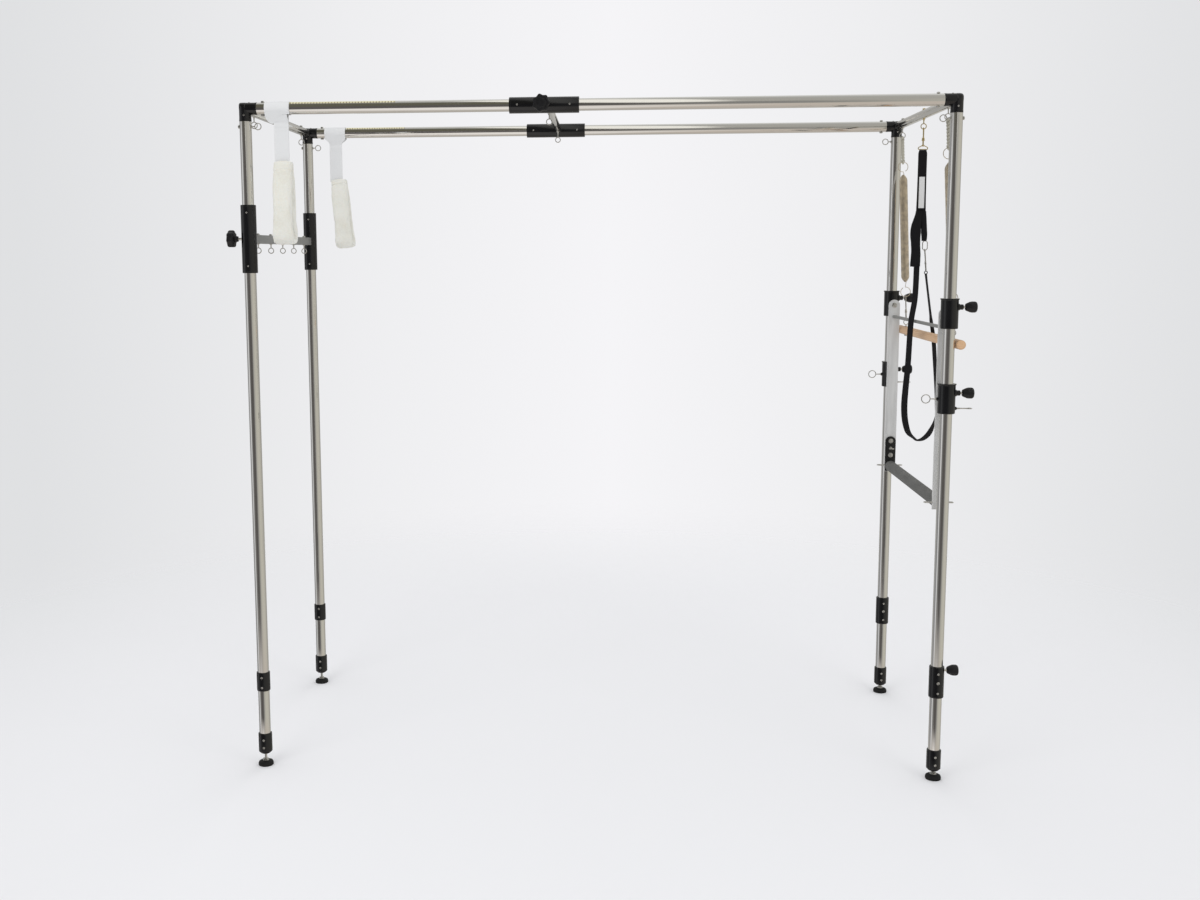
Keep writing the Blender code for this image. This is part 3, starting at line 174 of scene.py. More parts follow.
class Graph:
    """A node tree, with calls that each add a node and give back the output to use."""

    def __init__(self, tree):
        self.tree = tree

    def feed(self, node, inputs):
        """Links a node's inputs to the outputs of others, or sets them to plain values."""
        for name, value in inputs.items():
            socket = node.inputs[name]
            if isinstance(value, bpy.types.NodeSocket):
                self.tree.links.new(value, socket)
            elif socket.type == "RGBA":
                socket.default_value = (*value, 1.0)
            else:
                socket.default_value = value

    def add(self, kind, output, inputs, **settings):
        """Any kind of shader node, with its own settings and the inputs to feed it."""
        node = self.tree.nodes.new("ShaderNode" + kind)
        for name, value in settings.items():
            setattr(node, name, value)
        self.feed(node, inputs)
        return node.outputs[output]

    def place(self, stretch=EVEN, source="Object"):
        """Where a point of the piece lies at rest, each axis stretched by its own factor."""
        return self.add("Mapping", "Vector", {"Vector": self.add("TexCoord", source, {}),
                                              "Scale": stretch})

    def speckle(self, scale, detail=3.0, rough=0.5, stretch=EVEN, vector=None):
        inputs = {"Vector": vector or self.place(stretch), "Scale": scale, "Detail": detail,
                  "Roughness": rough}
        return self.add("TexNoise", "Fac", inputs)

    def waves(self, vector, scale, direction, distortion=0.0):
        return self.add("TexWave", "Fac", {"Vector": vector, "Scale": scale,
                                           "Distortion": distortion}, bands_direction=direction)

    def calculate(self, operation, first, second):
        return self.add("Math", "Value", {0: first, 1: second}, operation=operation)

    def times(self, value, factor):
        return self.calculate("MULTIPLY", value, factor)

    def total(self, first, *others):
        for other in others:
            first = self.calculate("ADD", first, other)
        return first

    def spread(self, value, low, high, start=0.0, end=1.0):
        return self.add("MapRange", "Result", {"Value": value, "From Min": start, "From Max": end,
                                               "To Min": low, "To Max": high})

    def separate(self, vector, axis):
        return self.add("SeparateXYZ", axis, {"Vector": vector})

    def colours(self, value, stops):
        """A colour for each stretch of a value, from position and colour pairs."""
        node = self.tree.nodes.new("ShaderNodeValToRGB")
        elements = node.color_ramp.elements
        while len(elements) < len(stops):
            elements.new(0.5)
        for element, (position, colour) in zip(elements, stops):
            element.position = position
            element.color = (*colour, 1.0)
        self.feed(node, {"Fac": value})
        return node.outputs["Color"]

    def blended(self, share, first, second):
        return self.add("Mix", "Result", {"Factor": share, "A": first, "B": second},
                        data_type="RGBA", clamp_factor=True)


class Finish(Graph):
    """A material's node tree with its shader, and calls that set what the shader shows."""

    def __init__(self, name, colour, roughness, metallic=0.0):
        self.material = bpy.data.materials.new(name)
        self.material.use_nodes = True
        super().__init__(self.material.node_tree)
        self.shader = self.tree.nodes["Principled BSDF"]
        self.set({"Base Color": colour, "Roughness": roughness, "Metallic": metallic})

    def set(self, inputs):
        self.feed(self.shader, inputs)

    def roughen(self, value, low, high, start=0.3, end=0.7):
        self.set({"Roughness": self.spread(value, low, high, start, end)})

    def colour(self, value, *stops):
        self.set({"Base Color": self.colours(value, stops)})

    def tint(self, value, colour, *stops):
        """Darker and lighter tones of one colour, from position and factor pairs."""
        self.colour(value, *((position, tuple(channel * factor for channel in colour))
                             for position, factor in stops))

    def bump(self, height, strength, distance):
        inputs = {"Strength": strength, "Distance": distance, "Height": height}
        self.set({"Normal": self.add("Bump", "Normal", inputs)})


def drawn_metal(name, along, seed=0.0):
    """Polished metal with faint drawing lines along one axis and soft smudges."""
    smoothest = 0.035
    made = Finish(name, (0.82, 0.81, 0.785), smoothest, 1.0)
    stretch = [90.0, 90.0, 90.0]
    stretch["XYZ".index(along)] = 2.0
    lines = made.speckle(6.0, stretch=stretch)
    smudges = made.speckle(9.0 + seed, 4.0)
    made.roughen(made.times(lines, smudges), smoothest, 0.13, 0.12, 0.42)
    made.bump(lines, 0.03, 0.0002)
    return made.material


def cast_metal(name, colour, roughness):
    """Small turned or plated fittings: fine grain and darker spots."""
    made = Finish(name, colour, roughness, 1.0)
    grain = made.speckle(420.0)
    made.tint(made.speckle(60.0), colour, (0.30, 0.72), (0.62, 1.0))
    made.roughen(grain, roughness * 0.7, roughness * 1.5)
    made.bump(grain, 0.12, 0.0002)
    return made.material


def moulded_plastic(name, colour, roughness, grain_scale=1400.0, depth=0.00025, specular=0.35):
    """Moulded plastic: a fine spark-eroded grain with slight changes of tone."""
    made = Finish(name, colour, roughness)
    made.set({SPECULAR: specular})
    tone = made.speckle(22.0)
    made.tint(tone, colour, (0.35, 0.85), (0.68, 1.20))
    made.roughen(tone, roughness * 0.85, roughness * 1.2)
    made.bump(made.speckle(grain_scale, 2.0), 0.25, depth)
    return made.material


def coated_metal(name, colour, roughness, metallic=0.0):
    """Powder paint or anodised metal, with orange peel and a few faint rubs."""
    made = Finish(name, colour, roughness, metallic)
    rubs = made.speckle(55.0, 4.0, stretch=(1.0, 1.0, 0.12))
    made.tint(rubs, colour, (0.38, 0.90), (0.70, 1.06))
    made.roughen(rubs, roughness * 0.85, roughness * 1.3)
    made.bump(made.speckle(520.0, 2.0), 0.22, 0.0002)
    return made.material


def woven(name, colour, rib=0.0016, relief_shade=0.12, sheen=0.10):
    """Webbing: slanting ribs crossed by the weft, from the strap's own flat coordinates, with
    painted shade in the hollows between the ribs.
    """
    made = Finish(name, colour, 0.85)
    made.set({SPECULAR: 0.25, "Sheen Weight": sheen, "Sheen Roughness": 0.5})
    flat = made.place(source="UV")
    slanting = made.waves(flat, DIAGONAL_PERIOD / rib, "DIAGONAL")
    crossing = made.waves(flat, STRAIGHT_PERIOD / (rib * 0.8), "Y")
    fuzz = made.speckle(900.0)
    height = made.total(made.times(slanting, 0.45), made.times(crossing, 0.25),
                        made.times(fuzz, 0.30))
    # Painted shade: the colour darkens where the weave is low, between the ribs, and lightens a
    # little on their tops, with the fuzz adding random tone.
    made.tint(height, colour, (0.2, 1 - relief_shade), (0.8, 1 + relief_shade * 0.4))
    made.bump(height, 0.35, 0.0004)
    return made.material


def fleece_cloth():
    made = Finish("fleece_pile", (0.83, 0.815, 0.74), 0.95)
    clumps = made.speckle(150.0, 5.0, 0.65)
    pile = made.speckle(1100.0, 4.0, 0.7)
    shade = made.total(made.times(made.speckle(14.0), 0.6), made.times(clumps, 0.4))
    made.colour(shade, (0.30, (0.715, 0.695, 0.610)), (0.50, (0.785, 0.775, 0.705)),
                (0.70, (0.825, 0.820, 0.765)))
    made.set({"Sheen Weight": 0.35, "Sheen Roughness": 0.6, SPECULAR: 0.2,
              "Subsurface Weight": 0.15, "Subsurface Radius": (0.006, 0.005, 0.004)})
    made.bump(made.total(clumps, made.times(pile, 0.6)), 0.50, 0.0007)
    return made.material


def turned_wood():
    made = Finish("ash_wood", (0.68, 0.43, 0.245), 0.48)
    made.set({"Coat Weight": 0.15})
    rings = made.waves(made.place((1.0, 0.055, 1.0)), 62.0, "Z", 5.0)
    pores = made.speckle(900.0, stretch=(1.0, 0.03, 1.0))
    grain = made.total(made.times(rings, 0.55), made.times(pores, 0.45))
    made.colour(grain, (0.15, (0.62, 0.385, 0.21)), (0.5, (0.66, 0.42, 0.24)),
                (0.9, (0.69, 0.45, 0.265)))
    made.roughen(pores, 0.40, 0.62)
    made.bump(grain, 0.10, 0.0003)
    return made.material


def foam_skin():
    made = Finish("grip_foam_skin", (0.122, 0.122, 0.117), 0.72)
    made.colour(made.speckle(40.0, 4.0, stretch=(1, 0.3, 1)), (0.32, (0.108, 0.108, 0.103)),
                (0.70, (0.136, 0.136, 0.130)))
    cells = made.add("TexVoronoi", "Distance", {"Vector": made.place(), "Scale": 900.0})
    made.bump(cells, 0.35, 0.0003)
    return made.material


def ruled_tape():
    """A pale yellow tape with a short brown line every so often along its lower edge."""
    pale = (0.74, 0.70, 0.46)
    brown = (0.16, 0.10, 0.05)
    line_step = 0.010
    line_top = RAIL_Z + 0.0172
    made = Finish("ruled_tape", pale, 0.55)
    lines = made.waves(made.place(), STRAIGHT_PERIOD / line_step, "X")
    rise = made.spread(made.separate(made.place(), "Z"), 0.0, 0.8, line_top, line_top + 0.001)
    worn = made.speckle(160.0)
    made.colour(made.total(lines, rise, made.times(worn, 0.15)), (0.26, brown), (0.40, pale))
    made.bump(worn, 0.2, 0.0002)
    return made.material


# Each finish's material, with the record's slot that it belongs to
FINISHES = {
    "chrome_x": (drawn_metal("chrome_along_x", "X"), "chrome"),
    "chrome_y": (drawn_metal("chrome_along_y", "Y", 3.0), "chrome"),
    "chrome_z": (drawn_metal("chrome_along_z", "Z", 5.0), "chrome"),
    "steel": (cast_metal("plated_steel", (0.79, 0.785, 0.76), 0.24), "chrome"),
    "hook": (cast_metal("hook_steel", (0.66, 0.64, 0.59), 0.30), "snap_steel"),
    "spring": (cast_metal("spring_steel", (0.88, 0.79, 0.64), 0.42), "spring_wire"),
    "brass": (cast_metal("yellow_brass", (0.78, 0.64, 0.34), 0.24), "brass"),
    "black": (moulded_plastic("black_moulding", (0.0050, 0.0051, 0.0060), 0.11, specular=0.5),
              "black_plastic"),
    "knob": (moulded_plastic("knob_moulding", (0.009, 0.009, 0.0105), 0.45, 900.0, 0.0004),
             "black_plastic"),
    "rubber": (moulded_plastic("foot_rubber", (0.010, 0.010, 0.010), 0.70, 700.0, 0.0005),
               "black_rubber"),
    "grey": (coated_metal("grey_paint_coat", (0.215, 0.215, 0.205), 0.42), "grey_paint"),
    "arm": (coated_metal("arm_anodised", (0.66, 0.66, 0.65), 0.40, 0.2), "arm_metal"),
    "bracket": (coated_metal("black_bracket_coat", (0.008, 0.008, 0.009), 0.42), "black_plastic"),
    "foam": (foam_skin(), "grip_foam"),
    "wood": (turned_wood(), "wood"),
    "black_web": (woven("black_webbing_weave", (0.0075, 0.0070, 0.0085), relief_shade=0.25,
                        sheen=0.02), "black_webbing"),
    "white_web": (woven("white_webbing_weave", (0.765, 0.77, 0.77), relief_shade=0.07),
                  "white_webbing"),
    "pad": (woven("black_pad_cloth", (0.0070, 0.0070, 0.0085), 0.0012, 0.25, 0.03),
            "black_webbing"),
    "patch": (woven("pale_patch_weave", (0.66, 0.66, 0.65), 0.0007, 0.05), "white_webbing"),
    "tie": (coated_metal("beige_tie", (0.47, 0.45, 0.375), 0.55), "snap_steel"),
    "fleece": (fleece_cloth(), "fleece"),
    "tape": (ruled_tape(), "chrome"),
}


# Mesh building blocks

def new_mesh(bm):
    mesh = bpy.data.meshes.new("shape")
    bm.to_mesh(mesh)
    bm.free()
    return mesh


def closed_mesh(bm):
    bmesh.ops.recalc_face_normals(bm, faces=bm.faces)
    return new_mesh(bm)


def placed(mesh, *matrices):
    """A copy of the mesh moved by the matrices, the last one first."""
    result = mesh.copy()
    for matrix in reversed(matrices):
        result.transform(matrix)
    return result


def merged(*meshes):
    """Several shapes kept together as one mesh, with their flat coordinates."""
    bm = bmesh.new()
    for mesh in meshes:
        bm.from_mesh(mesh)
    return new_mesh(bm)


def clamped(value):
    return min(1.0, max(0.0, value))


def eased(value):
    """The value kept from 0 to 1, with a gentle start and end."""
    share = clamped(value)
    return share * share * (3 - 2 * share)


def arc(centre_x, centre_y, radius, start, end, steps):
    angles = [radians(start + (end - start) * step / steps) for step in range(steps + 1)]
    return [(centre_x + radius * cos(a), centre_y + radius * sin(a)) for a in angles]


def softened(points, radius, closed=False):
    """The same line with each of its corners rounded."""
    steps = 3
    reach_share = 0.45
    count = len(points)
    result = []
    for index, point in enumerate(points):
        if not closed and index in (0, count - 1):
            result.append(point)
            continue
        corner = Vector(point)
        before = Vector(points[index - 1]) - corner
        after = Vector(points[(index + 1) % count]) - corner
        reach = min(radius, before.length * reach_share, after.length * reach_share)
        start = corner + before.normalized() * reach
        end = corner + after.normalized() * reach
        for step in range(steps + 1):
            t = step / steps
            result.append(tuple(start * (1 - t) ** 2 + corner * 2 * t * (1 - t) + end * t * t))
    return result


def lathe(profile, sides=48, closed=False, soft=0.0):
    """A profile of radius and height pairs turned round Z."""
    if soft:
        profile = softened(profile, soft, closed)
    bm = bmesh.new()
    corners = [bm.verts.new((radius, 0.0, height)) for radius, height in profile]
    edges = [bm.edges.new(pair) for pair in zip(corners, corners[1:])]
    if closed:
        edges.append(bm.edges.new((corners[-1], corners[0])))
    bmesh.ops.spin(bm, geom=corners + edges, cent=(0, 0, 0), axis=(0, 0, 1), angle=2 * pi,
                   steps=sides, use_merge=True)
    bmesh.ops.remove_doubles(bm, verts=bm.verts, dist=0.000002)
    bmesh.ops.dissolve_degenerate(bm, edges=bm.edges, dist=0.000001)
    return closed_mesh(bm)


def rod(radius, low, high, sides=48, soft=0.0008):
    return lathe([(0, low), (radius, low), (radius, high), (0, high)], sides, soft=soft)


def round_ended_bar(low, high, radius, steps_in, steps_along):
    """A bar along Z whose two ends step in twice, with all corners rounded."""
    start = [(0, low), (radius - steps_in[0], low), (radius - steps_in[1], low + steps_along[0]),
             (radius, low + steps_along[1])]
    stop = [(radius, high - steps_along[1]), (radius - steps_in[1], high - steps_along[0]),
            (radius - steps_in[0], high), (0, high)]
    return lathe(start + stop, 64, soft=0.0020)


def ring(radius, wire_radius, segments=40, sides=12):
    """A round ring in the XZ plane."""
    section = arc(radius, 0, wire_radius, 0, 360 - 360 / sides, sides - 1)
    return placed(lathe(section, segments, True), ALONG_MINUS_Y)


def evaluated(data, set_up=None):
    """The mesh of a curve or mesh, with the modifiers that set_up puts on it."""
    obj = added("working", data)
    if set_up:
        set_up(obj)
    bpy.context.view_layer.update()
    graph = bpy.context.evaluated_depsgraph_get()
    mesh = bpy.data.meshes.new_from_object(obj.evaluated_get(graph))
    bpy.data.objects.remove(obj)
    return mesh


def curved(points, closed, **settings):
    """The mesh that a curve through the points makes with its settings."""
    curve = bpy.data.curves.new("curve", "CURVE")
    for name, value in settings.items():
        setattr(curve, name, value)
    spline = curve.splines.new("POLY")
    spline.points.add(len(points) - 1)
    for slot, point in zip(spline.points, points):
        slot.co = (*point, 1.0)
    spline.use_cyclic_u = closed
    bm = bmesh.new()
    bm.from_mesh(evaluated(curve))
    bmesh.ops.remove_doubles(bm, verts=bm.verts, dist=0.000005)
    return closed_mesh(bm)


def wire(points, radius, cyclic=False, resolution=3):
    return curved(points, cyclic, dimensions="3D", bevel_depth=radius,
                  bevel_resolution=resolution, use_fill_caps=True)


def plate(outline, thickness, bevel):
    """A flat outline in the XY plane, extruded evenly both ways along Z."""
    return curved([(*point, 0.0) for point in outline], True, dimensions="2D", fill_mode="BOTH",
                  extrude=thickness / 2 - bevel, bevel_depth=bevel, bevel_resolution=2,
                  offset=-bevel)


def block(size_x, size_y, size_z, bevel):
    bm = bmesh.new()
    bmesh.ops.create_cube(bm, size=1.0, matrix=Matrix.Diagonal((size_x, size_y, size_z, 1.0)))
    bmesh.ops.bevel(bm, geom=bm.edges[:], offset=bevel, segments=3, profile=0.5, affect="EDGES")
    return new_mesh(bm)


def loft(rings, lengths=None, rounds=None):
    """A closed skin through rings of points, with flat coordinates where they are given."""
    bm = bmesh.new()
    rows = [[bm.verts.new(point) for point in row] for row in rings]
    flat = bm.loops.layers.uv.new("UVMap") if lengths else None
    width = len(rows[0])
    for row in range(len(rows) - 1):
        for column in range(width):
            following = (column + 1) % width
            face = bm.faces.new((rows[row][column], rows[row][following],
                                 rows[row + 1][following], rows[row + 1][column]))
            if flat:
                around = rounds[column], rounds[column + 1]
                for loop, across, along in zip(face.loops, (0, 1, 1, 0), (0, 0, 1, 1)):
                    loop[flat].uv = (around[across], lengths[row + along])
    bm.faces.new(rows[0])
    bm.faces.new(rows[-1])
    return closed_mesh(bm)


def lobed(levels, sides, reach):
    """A skin through levels of size and height, whose reach varies with the angle round Z."""
    rings = []
    for size, height in levels:
        row = []
        for side in range(sides):
            angle = 2 * pi * side / sides
            radius = reach(size, height, angle)
            row.append((radius * cos(angle), radius * sin(angle), height))
        rings.append(row)
    return loft(rings)


def soft_outline(sides, width_power, depth_power):
    """Points round a squarish outline of half width and half depth 1."""
    for side in range(sides):
        c, s = cos(2 * pi * side / sides), sin(2 * pi * side / sides)
        yield copysign(abs(c) ** width_power, c), copysign(abs(s) ** depth_power, s)


SHARP_ANGLE = radians(38)


def piece(name, mesh, finish, body, *replaced):
    """A finished piece that rides on a body and may stand for nodes of the frame."""
    material, slot = FINISHES[finish]
    mesh.name = name
    mesh.materials.clear()
    mesh.materials.append(material)
    obj = added(name, mesh)
    for polygon in mesh.polygons:
        polygon.use_smooth = True
    mesh.set_sharp_from_angle(angle=SHARP_ANGLE)
    if body:
        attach(obj, body)
    if replaced:
        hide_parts(*replaced)
    return obj


# Small fittings, each along Z from the face that it stands on

def hex_head(radius=NUT_RADIUS, height=NUT_HEIGHT):
    """A chamfered hexagon nut on a washer, with the rounded end of its bolt."""
    nut = lathe([(0, 0), (radius * 0.93, 0), (radius, height * 0.12), (radius, height * 0.72),
                 (radius * 0.90, height * 0.84), (0, height * 0.84)], 6)
    washer = rod(radius * 1.12, -0.0002, 0.0009, 32, 0.0002)
    end = lathe([(0, 0), (radius * 0.5, 0), (radius * 0.5, height * 0.9), (radius * 0.34, height),
                 (0, height)], 24, soft=0.0003)
    return merged(nut, washer, end)


def socket_screw(radius, height):
    """A low round head with a six-sided socket."""
    hole = radius * 0.48
    floor = height * 0.35
    head = lathe([(hole, floor), (hole, height), (radius * 0.82, height), (radius, height * 0.55),
                  (radius, -0.0003), (0, -0.0003)], 32, soft=0.0002)
    socket = lathe([(0, floor), (radius * 0.50, floor), (radius * 0.50, height * 0.5),
                    (0, height * 0.30)], 6)
    return merged(head, socket)


def front_screw(here, radius, height, surface):
    """A socket screw on the side of a round part that faces the camera."""
    return placed(socket_screw(radius, height), here, ALONG_MINUS_Y, up(surface))


def eye_and_shank(seat, radius, foot=0.0055):
    """A ring in the XZ plane round the origin, its shank running up +Z to a flange."""
    neck = EYE_WIRE * 1.25
    shank = lathe([(0, radius * 0.93), (neck, radius * 0.93), (neck, seat * 0.5 + radius * 0.5),
                   (neck * 1.5, seat - 0.0022), (foot, seat - 0.0014), (foot, seat), (0, seat)],
                  32, soft=0.0004)
    return merged(ring(radius, EYE_WIRE), shank)


def eyebolt(drop, surface, eye_radius, nut_radius=SMALL_NUT_RADIUS, nut_height=NUT_HEIGHT,
            sink=0.0003):
    """An eye hanging below a bar at the origin, with its nut on top of the bar."""
    eye = placed(eye_and_shank(drop - surface, eye_radius), up(-drop))
    return merged(eye, placed(hex_head(nut_radius, nut_height), up(surface - sink)))


def fluted_knob(base, stem_reach, stem_radius):
    """A fluted pull knob along Z, and its thin metal neck as a second shape."""
    radius = 0.0185
    length = 0.038
    flutes = 12
    flute_depth = 0.0009
    low = base + 0.006
    high = low + length
    profile = softened([(stem_radius * 1.5, low), (radius * 0.60, low + 0.0008),
                        (radius * 0.82, low + length * 0.26), (radius, low + length * 0.48),
                        (radius, high - 0.006), (radius * 0.86, high - 0.0015),
                        (radius * 0.55, high), (0, high)], 0.004)

    def reach(r, z, angle):
        depth = flute_depth * clamped((z - low) / (length * 0.4)) * (r > radius * 0.75)
        return r - depth * (0.5 + 0.5 * cos(flutes * angle)) ** 4

    grip = lobed([(0.0008, low)] + profile[:-1] + [(0.0008, high)], 96, reach)
    return grip, rod(stem_radius, stem_reach, low + 0.002, 32, 0.0004)


def star_knob():
    """A lobed clamping knob along Z with a raised centre, from the tube's surface outwards."""
    top = 0.074
    low = top - 0.026
    size = 0.0273
    lobes = 7
    lobe_depth = 0.0024
    levels = [(0.30, low), (0.62, low + 0.0004), (0.90, low + 0.0022), (0.985, low + 0.0050),
              (1.0, low + 0.0085), (1.0, top - 0.0085), (0.985, top - 0.0055),
              (0.94, top - 0.0030), (0.86, top - 0.0016), (0.76, top - 0.0014),
              (0.70, top - 0.0022), (0.62, top - 0.0022), (0.56, top - 0.0006), (0.48, top),
              (0.25, top), (0.02, top)]

    def reach(share, z, angle):
        wave = cos(lobes * angle)
        if wave < 0:
            wave *= 0.8
        return size * share + lobe_depth * clamped((share - 0.45) / 0.5) * wave

    hub = lathe([(0, low - 0.010), (0.009, low - 0.010), (0.0115, low + 0.001), (0, low + 0.001)],
                40, soft=0.001)
    head = merged(lobed(levels, 168, reach), hub)
    return head, rod(0.0045, TUBE_RADIUS + 0.0015, low - 0.008, 32, 0.0004)


# Frame tubes

def dress_tubes():
    for end, side in CORNERS:
        low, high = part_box(f"post_{end}_{side}")
        here = move(POST_X[side], POST_Y[end])
        piece(f"tube_{end}_{side}", placed(rod(TUBE_RADIUS, low.z, high.z, 64), here), "chrome_z",
              "frame", f"post_{end}_{side}")
        outward = ALONG_X if side == "right" else ALONG_MINUS_X
        bolt = eyebolt(POST_EYE_REACH, TUBE_RADIUS, EYE_RADIUS, NUT_RADIUS, sink=0.0)
        piece(f"post_eyebolt_{end}_{side}", placed(bolt, here, up(POST_EYE_Z), outward),
              "steel", "frame")
    for end, y in POST_Y.items():
        low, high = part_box(f"rail_{end}")
        piece(f"top_tube_{end}",
              placed(rod(TUBE_RADIUS, low.x, high.x, 64), move(0, y, RAIL_Z), ALONG_X),
              "chrome_x", "frame", f"rail_{end}")
        for side, sign in SIDES.items():
            spot = move(POST_X[side] - sign * RAIL_BOLT_INSET, y, RAIL_Z)
            lift = up(TUBE_RADIUS - FEATHER)
            nuts = merged(placed(hex_head(SMALL_NUT_RADIUS), spot, lift),
                          placed(hex_head(), spot, UPSIDE_DOWN, lift))
            piece(f"rail_bolt_{end}_{side}", nuts, "steel", "frame")


def dress_rail_tapes():
    spans = {"front": (-1.0235, -0.667), "rear": (-1.015, -0.7795)}
    section = (arc(0, 0, TUBE_RADIUS + 0.00035, 138, 96, 14)
               + arc(0, 0, TUBE_RADIUS - 0.0002, 96, 138, 14))
    for end, span in spans.items():
        tape = loft([[(x, u, v) for u, v in section] for x in span])
        piece(f"rail_tape_{end}", placed(tape, move(0, POST_Y[end], RAIL_Z)), "tape", "frame")


def dress_end_bars():
    for side, x in POST_X.items():
        low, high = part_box(f"end_bar_{side}")
        piece(f"cross_tube_{side}",
              placed(rod(END_BAR_RADIUS, low.y, high.y, 56), move(x, 0, RAIL_Z), ALONG_Y),
              "chrome_y", "frame", f"end_bar_{side}")
        for end, sign in ENDS.items():
            bolt = eyebolt(BAR_EYE_DROP, END_BAR_RADIUS, EYE_RADIUS)
            piece(f"bar_eyebolt_{end}_{side}",
                  placed(bolt, move(x, MID_Y + sign * BAR_EYE_Y, RAIL_Z)), "steel", "frame")
    bolt = eyebolt(STRAP_EYE_DROP, END_BAR_RADIUS, SMALL_EYE_RADIUS)
    piece("strap_eyebolt", placed(bolt, move(RIGHT_X, MID_Y, RAIL_Z)), "brass", "frame")


def dress_elbows():
    reach = 0.0415
    inner = TUBE_RADIUS + 0.0002
    outer = TUBE_RADIUS + 0.0006
    thin_radius = END_BAR_RADIUS + 0.0006
    top_screw_inset = 0.014
    face_screw_drop = 0.022
    leg = lathe([(0, 0), (inner, 0), (inner, reach - 0.007), (outer, reach - 0.006),
                 (outer, reach), (0, reach)], 56, soft=0.0008)
    thin = rod(thin_radius, 0, reach)
    screw = socket_screw(0.0030, 0.0016)
    for end, side in CORNERS:
        sign = SIDES[side]
        # The outer corner is squarer on the left
        power = 4.0 if side == "right" else 6.0
        bm = bmesh.new()
        bmesh.ops.create_uvsphere(bm, u_segments=64, v_segments=40, radius=outer)
        for vert in bm.verts:
            x, z = abs(vert.co.x), abs(vert.co.z)
            if vert.co.x * sign > 0 and vert.co.z > 0:
                squarer = (x * x + z * z) ** 0.5 / (x ** power + z ** power) ** (1 / power)
                vert.co.x *= squarer
                vert.co.z *= squarer
        shape = merged(new_mesh(bm), placed(leg, UPSIDE_DOWN),
                       placed(leg, ALONG_MINUS_X if side == "right" else ALONG_X),
                       placed(thin, ALONG_MINUS_Y if end == "rear" else ALONG_Y))
        here = move(POST_X[side], POST_Y[end], RAIL_Z)
        piece(f"corner_{end}_{side}", placed(shape, here), "black", "frame",
              f"elbow_{end}_{side}")
        top = placed(screw, move(-sign * top_screw_inset, 0, outer - 0.0004))
        face = placed(screw, ALONG_MINUS_Y, move(0, -face_screw_drop, TUBE_RADIUS))
        piece(f"corner_screws_{end}_{side}", placed(merged(top, face), here), "steel", "frame")


# Legs and feet

FITTING_HEIGHT = 0.074
FITTING_SCREWS = (0.024, 0.052)
# The couplings' screws: how far each is above the lower rim, and its radius
COUPLING_SCREWS = {"left": ((0.014, 0.0040), (0.050, 0.0040)),
                   "right": ((0.018, 0.0040), (0.054, 0.0052), (0.086, 0.0040))}


def dress_legs():
    """Under each post its coupling, the lower leg tube with its end fitting, and the foot."""
    for end, side in CORNERS:
        here = move(POST_X[side], POST_Y[end])
        low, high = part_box(f"coupling_{end}_{side}")
        outer = (high.x - low.x) / 2
        bore = TUBE_RADIUS + FEATHER
        shell = lathe([(outer - 0.0004, low.z), (outer, low.z + 0.004), (outer, high.z - 0.004),
                       (outer - 0.0004, high.z), (bore, high.z), (bore, low.z)], 56, True, 0.0010)
        piece(f"leg_coupling_{end}_{side}", placed(shell, here), "black", "frame",
              f"coupling_{end}_{side}")
        screws = []
        for rise, size in COUPLING_SCREWS[side]:
            screws.append(front_screw(here @ up(low.z + rise), size, 0.0022, outer - 0.0004))
        piece(f"coupling_screws_{end}_{side}", merged(*screws), "steel", "frame")

        low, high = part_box(f"lower_leg_{end}_{side}")
        outer = (high.x - low.x) / 2
        top = low.z + FITTING_HEIGHT
        bore = TUBE_RADIUS - 0.001
        floor = low.z + 0.006
        stem_hole = 0.0052
        piece(f"leg_tube_{end}_{side}", placed(rod(TUBE_RADIUS, top - 0.010, high.z, 64), here),
              "chrome_z", "frame", f"lower_leg_{end}_{side}")
        fitting = lathe([(stem_hole, low.z), (outer - 0.007, low.z), (outer, low.z + 0.007),
                         (outer, top - 0.002), (outer - 0.0012, top), (bore, top), (bore, floor),
                         (stem_hole, floor)], 56, True, 0.0010)
        piece(f"leg_end_{end}_{side}", placed(fitting, here), "black", "frame")
        screws = [front_screw(here @ up(low.z + rise), 0.0042, 0.0022, outer - 0.0004)
                  for rise in FITTING_SCREWS]
        piece(f"leg_end_screws_{end}_{side}", merged(*screws), "steel", "frame")
        dress_foot(f"foot_{end}_{side}", here)


def dress_foot(body, here):
    """A grooved rubber pad with its threaded stem and nut."""
    low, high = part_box(body)
    radius = (high.x - low.x) / 2
    pad_top = 0.0178
    pad = lathe([(0, 0.0), (radius - 0.0012, 0.0), (radius, 0.0020), (radius, 0.0085),
                 (radius * 0.93, 0.0130), (radius * 0.66, pad_top - 0.0016), (0.0115, pad_top),
                 (0, pad_top)], 64, soft=0.0012)
    grooves = [placed(ring(radius - 0.0004, 0.0005, 64, 8), up(z), ALONG_Y)
               for z in (0.0040, 0.0062)]
    piece(f"{body}_pad", placed(merged(pad, *grooves), here), "rubber", body, body)
    stem_radius = 0.0040
    thread_start = 0.026
    thread_length = high.z - 0.028
    turns = 20
    steps = 16
    thread = []
    for step in range(turns * steps):
        angle = 2 * pi * step / steps
        thread.append((stem_radius * cos(angle), stem_radius * sin(angle),
                       thread_start + thread_length * step / (turns * steps)))
    nut = placed(hex_head(0.0100, 0.0085), up(pad_top - 0.0002))
    stem = merged(nut, rod(stem_radius, 0.018, high.z, 32), wire(thread, 0.0005, resolution=1))
    piece(f"{body}_stem", placed(stem, here), "steel", body)


# Sliding sleeves and their crossbars

